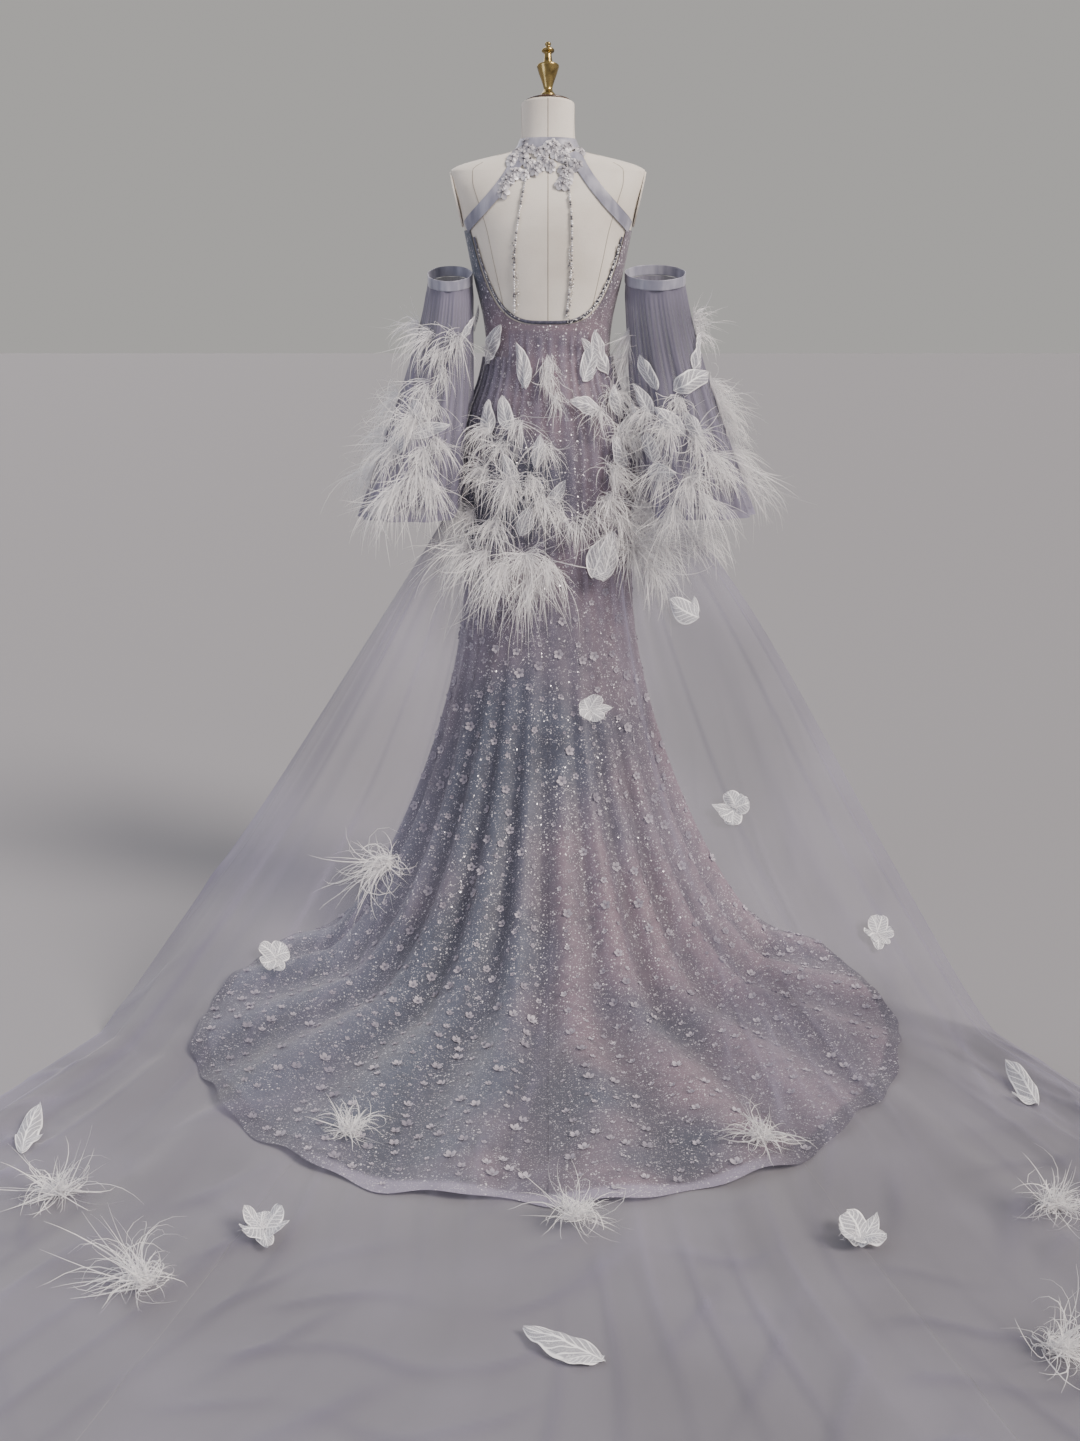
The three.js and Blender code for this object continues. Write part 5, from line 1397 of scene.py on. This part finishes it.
def sleeve_top(word):
    """The same of a sleeve's rippled face, as a surface of turn and t."""

    def surface(turn, t, up):
        outer, inner = sleeve_point(word, turn, t, NET), sleeve_point(word, turn, t, 0.0)
        rise = sleeve_ripple(turn, t) * SLEEVE_RIPPLE + up
        return outer + unit(outer - inner) * np.asarray(rise)[..., None]

    return surface


def patch_on(surface, u, v, du, dv, turn_deg=0.0):
    """A surface of millimetres across, down and up round a spot of another surface."""
    c, d = math.cos(math.radians(turn_deg)), math.sin(math.radians(turn_deg))
    u, v = np.array(u), np.array(v)
    per_u = np.linalg.norm(surface(u + du, v, 0.0) - surface(u - du, v, 0.0)) / (2 * du)
    per_v = np.linalg.norm(surface(u, v + dv, 0.0) - surface(u, v - dv, 0.0)) / (2 * dv)

    def patch(a, b, up):
        a, b, up = np.broadcast_arrays(*(np.asarray(w, float) for w in (a, b, up)))
        return surface(u + (a * c - b * d) / per_u, v + (a * d + b * c) / per_v, up)

    return patch


NET_U = np.linspace(-0.98, 0.98, 393)
NET_V = np.linspace(0.02, 2.98, 593)
net_map = net_point(NET_U[None, :], NET_V[:, None], np.full((len(NET_V), len(NET_U)), NET))
SLEEVE_TURN = np.arange(182, 359, 1.5)
SLEEVE_T = np.linspace(0.02, 0.99, 120)
sleeve_maps = {word: sleeve_top(word)(SLEEVE_TURN[None, :], SLEEVE_T[:, None], 0.0) for word in SLEEVES}
SEAT_END_V, AIR_END_V = 1.6, 1.9
OUT_OF_REACH = 1e6


def nearest(first, second, wanted, barred=False):
    """Row and column where two values of a grid come closest to the wanted pair."""
    miss = np.hypot(first - wanted[0], second - wanted[1]) + np.where(barred, OUT_OF_REACH, 0)
    return np.unravel_index(np.argmin(miss), miss.shape)


def net_patch(turn_deg, pixel=None, x=None, z=None, y=None):
    """Upright spots by pixel or by x and z, and spots on the floor by x and y."""
    down = NET_V[:, None]
    if pixel:
        j, i = nearest(*pixels_of(net_map)[:2], pixel, down > SEAT_END_V)
    elif y is None:
        j, i = nearest(net_map[..., 0], net_map[..., 2], (x, z), down > AIR_END_V)
    else:
        j, i = nearest(net_map[..., 0], net_map[..., 1], (x, y), down < AIR_END_V)
    return patch_on(net_top, NET_U[i], NET_V[j], 0.01, 0.01, turn_deg)


def sleeve_patch(word, turn_deg, pixel):
    """A spot of a sleeve by its pixel; the right sleeve's own turn runs the other way round."""
    j, i = nearest(*pixels_of(sleeve_maps[word])[:2], pixel)
    way = -SLEEVES[word]["side"]
    return patch_on(sleeve_top(word), SLEEVE_TURN[i], SLEEVE_T[j], 2.0, 0.01, way * turn_deg)


# %% [markdown]
# Ostrich plumes are tied in rosettes. Each one is a fan of long barbs from one knot, and each
# barb starts in its own direction, curls its own way and bends over under its own weight. A
# barb is a narrow folded strip, so that it shows from every side, and it stays outside the
# cloth under it.

# %% Plumes
BARB_STEPS = 7
KNOT_SPREAD = 6
ABOVE_FLOOR = 6.0


def turned_about(way, axis, angle):
    """Directions turned about an axis by an angle each."""
    c, s = np.cos(angle)[:, None], np.sin(angle)[:, None]
    along = (way * axis).sum(axis=1, keepdims=True) * axis
    return way * c + np.cross(axis, way) * s + along * (1 - c)


def barbs(patch, count, reach, aim_deg, fan_deg, rise=(0.05, 1.35), droop=0.8, wide=1.2, curly=1.35):
    """Barbs of one rosette: points (count, rings, 3, 3) and their tone, painted darker towards the knot
    as shade.
    """
    knot = patch(0, 0, 0)
    away = unit(patch(0, 0, 6) - knot)
    down = unit(patch(0, 4, 0) - patch(0, -4, 0))
    right = unit(np.cross(away, down))
    theta = np.radians(aim_deg + dice.uniform(-1, 1, count) * fan_deg)
    phi = dice.uniform(*rise, count)
    flat = right * np.sin(theta)[:, None] + down * np.cos(theta)[:, None]
    heading = flat * np.cos(phi)[:, None] + away * np.sin(phi)[:, None]
    is_short = dice.random(count) < 0.3
    share = np.where(is_short, dice.uniform(0.2, 0.5, count), dice.uniform(0.55, 1.15, count))
    long = reach * np.where(dice.random(count) < 0.04, 1.35, share)
    weight = droop * dice.uniform(0.25, 1.5, count)
    curl = dice.normal(0, curly, count)
    root = knot + right * dice.normal(0, KNOT_SPREAD, (count, 1))
    root = root + down * dice.normal(0, KNOT_SPREAD, (count, 1)) + away * 2
    axis = unit(away + dice.normal(0, 0.7, (count, 3)))
    points, ways = [root], []
    for k in range(BARB_STEPS):
        t = (k + 0.5) / BARB_STEPS
        w = np.clip(weight * t**0.9, 0, 0.97)[:, None]
        bent = turned_about(heading, axis, curl * t**1.2)
        way = unit(bent * (1 - w) + (away * 0.12 - UP) * w)
        ways.append(way)
        points.append(points[-1] + way * (long / BARB_STEPS)[:, None])
    ways.append(ways[-1])
    p, way = np.stack(points, axis=1), np.stack(ways, axis=1)
    height = (p - knot) @ away
    least = 1.6 + 0.02 * np.linalg.norm(p - knot, axis=-1) + dice.uniform(0, 6, (count, 1)) * 0.5
    p = p + away * np.maximum(least - height, 0)[..., None]
    p[..., 2] = np.maximum(p[..., 2], ABOVE_FLOOR)
    side = unit(np.cross(way, away + 0.3 * right))
    top = np.cross(side, way)
    spin = dice.uniform(-1.2, 1.2, (count, 1, 1))
    side, top = side * np.cos(spin) + top * np.sin(spin), top * np.cos(spin) - side * np.sin(spin)
    t = np.linspace(0, 1, BARB_STEPS + 1)
    half = (0.5 * wide * (0.5 + 1.6 * t * (1 - t) * 2) * (1 - 0.75 * t**2))[None, :, None]
    half = half * dice.uniform(0.7, 1.25, (count, 1, 1))
    strip = np.stack([p - side * half, p + top * half * 0.6, p + side * half], axis=2)
    # Painted shade: the tone is darker towards the knot, and varies at random per barb.
    tone = np.clip((0.4 + 0.9 * t)[None, :, None] * dice.uniform(0.75, 1.1, (count, 1, 1)), 0, 1)
    return strip, np.broadcast_to(tone, strip.shape[:3])


def plumes(name, rosettes, replaced=()):
    """One piece of feather from the barbs of many rosettes."""
    strips, tones = (np.concatenate(part) for part in zip(*rosettes))
    points, faces = many(grid_faces(BARB_STEPS + 1, 3), strips.reshape(len(strips), -1, 3))
    add_piece(name, points, faces, feather, "feather", replaced, tone=tones)


# More and longer barbs than a first count in the photograph gave
FULLER, LONGER = 1.2, 1.2
# Each row: pixel, barbs, reach in mm, aim in degrees from down and to the right, fan in degrees
PLUMES_SLEEVE = {
    "left": (
        (458, 338, 70, 92, -75, 50), (432, 334, 60, 80, -70, 70), (408, 322, 50, 64, -110, 60),
        (440, 350, 50, 60, -20, 60), (414, 421, 170, 84, 0, 180), (400, 398, 80, 72, -70, 110),
        (430, 402, 60, 60, 40, 120), (384, 430, 80, 78, -75, 80), (396, 446, 90, 86, -30, 110),
        (416, 470, 110, 100, 0, 80), (376, 466, 90, 92, -50, 70), (398, 486, 90, 98, -10, 60),
        (430, 480, 70, 90, 20, 60), (388, 500, 60, 80, -20, 50), (436, 440, 60, 66, 30, 90),
        (442, 372, 40, 56, 0, 60), (426, 384, 50, 60, -20, 90), (424, 452, 80, 84, 0, 90),
    ),
    "right": (
        (699, 318, 60, 60, 125, 80), (712, 328, 50, 56, 80, 60), (630, 334, 60, 62, -14, 60),
        (628, 356, 50, 52, 10, 60), (732, 392, 90, 78, 45, 110), (722, 408, 70, 66, 0, 130),
        (738, 420, 60, 70, 30, 80), (735, 448, 60, 80, 20, 70), (742, 462, 50, 104, 32, 22),
        (720, 470, 50, 78, 10, 70), (748, 478, 50, 84, 30, 34), (668, 428, 130, 70, 0, 180),
        (646, 412, 70, 62, -20, 130), (692, 436, 90, 70, 40, 110), (640, 446, 80, 62, -20, 140),
        (664, 466, 90, 76, 10, 120), (690, 478, 150, 90, 30, 120), (642, 492, 90, 76, 0, 120),
        (700, 496, 80, 98, 40, 50), (674, 506, 90, 92, 10, 70), (652, 506, 60, 84, 0, 70),
        (708, 456, 90, 80, 20, 90), (716, 380, 60, 66, 20, 110), (678, 400, 60, 60, 0, 120),
    ),
}
PLUMES_SEAT = {
    "left": ((
        (490, 430, 70, 66, -40, 100), (520, 424, 60, 68, 0, 90), (504, 446, 80, 72, -20, 110),
        (510, 484, 170, 88, 0, 180), (486, 470, 80, 70, -60, 110), (532, 478, 60, 68, 40, 90),
        (474, 512, 80, 74, -50, 110), (496, 522, 90, 86, 0, 110), (545, 446, 60, 68, 0, 80),
        (540, 500, 80, 74, 30, 120), (558, 514, 60, 60, 40, 120), (574, 524, 50, 62, 10, 100),
        (525, 556, 170, 104, 0, 140), (486, 552, 100, 116, -20, 60), (506, 566, 100, 124, -8, 50),
        (545, 562, 90, 100, 14, 60), (470, 544, 70, 104, -36, 50), (528, 580, 60, 110, 0, 40),
    ), ["feathers_seat_left", "feathers_seat_low_left"]),
    "middle": ((
        (549, 362, 60, 46, 0, 40), (547, 378, 60, 50, 8, 50), (554, 396, 40, 46, 20, 50),
    ), ["feathers_seat_middle"]),
    "right": ((
        (612, 398, 130, 62, 0, 180), (598, 412, 70, 54, -60, 90), (618, 436, 120, 66, 0, 180),
        (612, 470, 130, 68, 0, 170), (606, 498, 120, 74, 0, 140), (620, 520, 90, 78, 10, 120),
        (633, 550, 180, 84, 20, 140), (658, 545, 90, 92, 30, 70), (688, 538, 90, 92, 26, 50),
        (606, 540, 70, 62, -10, 110), (650, 568, 70, 90, 10, 46), (590, 516, 50, 56, -20, 110),
    ), ["feathers_seat_right", "feathers_seat_mid_right", "feathers_seat_low_right"]),
}
for word, rows in PLUMES_SLEEVE.items():
    made = [barbs(sleeve_patch(word, 0, (x, y)), int(n * FULLER), reach * LONGER, aim, fan)
            for x, y, n, reach, aim, fan in rows]
    nodes = [f"feathers_sleeve_{word}_{height}" for height in ("top", "mid", "low")]
    plumes("plumes_sleeve_" + word, made, nodes)
for word, (rows, nodes) in PLUMES_SEAT.items():
    made = [barbs(net_patch(0, (x, y)), int(n * FULLER), reach * LONGER, aim, fan)
            for x, y, n, reach, aim, fan in rows]
    plumes("plumes_seat_" + word, made, nodes)

# Small sprays on the train: x with z or y in mm, turn, reach, aim and fan in degrees
TRAIN_SPRAYS = {
    "a": (-290, 268, None, 20, 118, -12, 34), "b": (-306, None, -992, -30, 62, 0, 180),
    "c": (40, None, -1240, 15, 80, 0, 130), "d": (322, None, -1009, 40, 70, 10, 80),
    "e": (-705, None, -1150, -35, 92, 0, 90), "f": (-520, None, -1400, 10, 100, -62, 60),
    "g": (715, None, -1190, 30, 92, 20, 70), "h": (616, None, -1540, -20, 96, 10, 70),
}
for word, (x, z, y, turn, reach, aim, fan) in TRAIN_SPRAYS.items():
    patch = net_patch(turn, x=x, z=z, y=y)
    outer = barbs(patch, 100, reach * 1.15, aim, fan, (0.1, 1.2), droop=0.5, wide=1.4, curly=2.6)
    inner = barbs(patch, 80, reach * 0.55, 0, 180, (0.3, 1.4), droop=0.4, wide=1.3, curly=3.0)
    plumes("plumes_train_" + word, [outer, inner], ["feathers_train_" + word])

# %% [markdown]
# Leaves and petals are stiff organza with lace veins and a corded outline. Each one is sewn by
# its base and rises a little towards its tip, with a cupped middle and a wavy rim. Sprigs of
# single leaves sit among the plumes, and every petal flower has a small tuft of feather.

# %% Leaves and petals
OVER_CLOTH = 1.2


def leaf(patch, long, wide, base, stand, at=(0, 0), turn_deg=0.0, foot=0.75, tip=0.95):
    """Points of one leaf whose tip points up the patch, and its places along and across."""
    q = np.linspace(0, 1, 24)[:, None]
    a = np.linspace(-1, 1, 11)[None, :]
    q, a = np.broadcast_arrays(q, a)
    fullest = foot / (foot + tip)
    half = wide / 2 * (q / fullest) ** foot * ((1 - q) / (1 - fullest)) ** tip + 0.4
    wave, lean = dice.uniform(0, 6, 2)
    across = a * half + 0.1 * wide * np.sin(q * 3 + lean)
    down = (0.5 - q) * long * (1 + 0.03 * np.sin(a * 7 + wave))
    up = base + stand * q**1.6 + 0.16 * wide * (1 - a**2) * np.sin(np.pi * q)
    across = across + 0.07 * long * np.sin(q * 2.2) ** 2 * np.sin(lean)
    up = up + 0.05 * wide * a**2 * np.sin(q * 11 + wave + 2 * a)
    c, s = math.cos(math.radians(turn_deg)), math.sin(math.radians(turn_deg))
    right, low = at[0] + across * c - down * s, at[1] + across * s + down * c
    return patch(right, low, np.maximum(up, OVER_CLOTH)), q, a


def organza_piece(name, leaves, replaced=()):
    """One piece from the leaves that are sewn on together."""
    points, along, across = (np.stack(part) for part in zip(*leaves))
    faces = grid_faces(*points.shape[1:3])
    points, faces = many(faces, points.reshape(len(points), -1, 3))
    add_piece(name, points, faces, organza, "organza", replaced, along=along, across=across)


# Each leaf: x with z or y in mm, turn in degrees, length and width
LEAVES = {
    "waist_left": (-100, 1188, None, 30, 92, 34), "waist_middle": (-50, 1148, None, -18, 96, 34),
    "waist_right": (72, 1160, None, 22, 88, 36), "seat_left": (-108, 1052, None, -20, 66, 34),
    "seat_low": (100, 792, None, 26, 90, 44), "wing_right": (262, 690, None, -30, 84, 40),
    "train_right": (772, None, -800, 24, 124, 50), "train_left": (-800, None, -960, -40, 116, 50),
    "train_end": (20, None, -1530, -60, 116, 50),
}
for word, (x, z, y, turn, long, wide) in LEAVES.items():
    patch = net_patch(turn, x=x, z=z, y=y)
    small_turn = dice.choice([-1, 1]) * dice.uniform(40, 70)
    small_at = (0.3 * wide * np.sign(small_turn), 0.3 * long)
    whole = leaf(patch, long, wide, 2.4, 8)
    small = leaf(patch, long * 0.45, wide * 0.5, 2.0, 6, small_at, small_turn)
    organza_piece("organza_leaf_" + word, [whole, small], ["leaf_" + word])

# Leaf sprigs among the plumes: pixel, length, width, turn and how far the tip stands off
SPRIGS_SLEEVE = {
    "left": ((474, 318, 60, 20, 24, 10), (466, 326, 46, 18, -30, 10), (428, 430, 62, 30, -70, 26),
             (404, 440, 60, 30, -20, 26), (420, 410, 56, 28, 20, 24)),
    "right": ((651, 372, 70, 30, 14, 14), (696, 352, 84, 30, -34, 12), (690, 382, 84, 40, -64, 14),
              (690, 427, 70, 32, 26, 30), (640, 414, 64, 34, -40, 26), (666, 474, 66, 36, -78, 30),
              (646, 402, 74, 38, 8, 20), (672, 420, 78, 40, 40, 28), (656, 446, 60, 36, -10, 28)),
}
SPRIGS_SEAT = ((507, 415, 66, 28, -16, 14), (585, 409, 66, 34, -70, 16), (597, 352, 92, 34, -20, 10),
               (586, 350, 60, 20, -44, 8), (603, 556, 96, 44, 12, 22), (538, 452, 60, 24, 10, 22),
               (556, 492, 60, 24, 36, 24), (620, 430, 60, 34, 30, 26), (612, 404, 64, 34, -14, 20),
               (626, 392, 60, 30, 20, 18), (616, 452, 70, 36, -40, 26), (510, 470, 56, 26, -10, 28),
               (526, 520, 60, 30, 20, 28), (630, 500, 60, 34, -30, 28))
SPRIG_BASE = 3
for word, rows in SPRIGS_SLEEVE.items():
    made = [leaf(sleeve_patch(word, turn, (x, y)), long, wide, SPRIG_BASE, stand)
            for x, y, long, wide, turn, stand in rows]
    organza_piece("sprigs_sleeve_" + word, made)
made = [leaf(net_patch(turn, (x, y)), long, wide, SPRIG_BASE, stand)
        for x, y, long, wide, turn, stand in SPRIGS_SEAT]
organza_piece("sprigs_seat", made)

# Each flower of petals: x with z or y, and how far its petals reach, in mm
PETALS = {
    "a": (79, 515, None, 40), "b": (345, 352, None, 44), "c": (580, 170, None, 44),
    "d": (-480, 140, None, 46), "e": (-390, None, -1260, 52), "f": (425, None, -1283, 52),
}
PETAL_COUNT, PETAL_APART, POINTED = 6, 56, 2
for word, (x, z, y, far) in PETALS.items():
    patch = net_patch(0, x=x, z=z, y=y)
    petals = []
    start = dice.uniform(0, 360)
    for k in range(PETAL_COUNT):
        turn = start + k * PETAL_APART + dice.uniform(-20, 20)
        pointed = k == POINTED
        long = far * (1.15 if pointed else dice.uniform(0.6, 0.85))
        wide = long * (0.42 if pointed else dice.uniform(0.8, 1.0))
        at = (0.4 * long * math.sin(math.radians(turn)), -0.4 * long * math.cos(math.radians(turn)))
        petals.append(leaf(patch, long, wide, 1.6 + k * 0.8, dice.uniform(6, 26), at, turn,
                           foot=0.7, tip=0.9 if pointed else 0.4))
    organza_piece("organza_petals_" + word, petals, ["petals_" + word])
    tuft = barbs(patch, 60, far * 0.55, 0, 180, (0.4, 1.4), droop=0.5, wide=0.8)
    plumes("petal_tuft_" + word, [tuft])

# %% [markdown]
# The last cell prints the box of the imported model and that of the dressed one.

# %% Sizes and finish
dressed_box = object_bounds()
[[list(corner) for corner in box] for box in (cad_box, dressed_box)]
print("boxes:", cad_box, dressed_box)
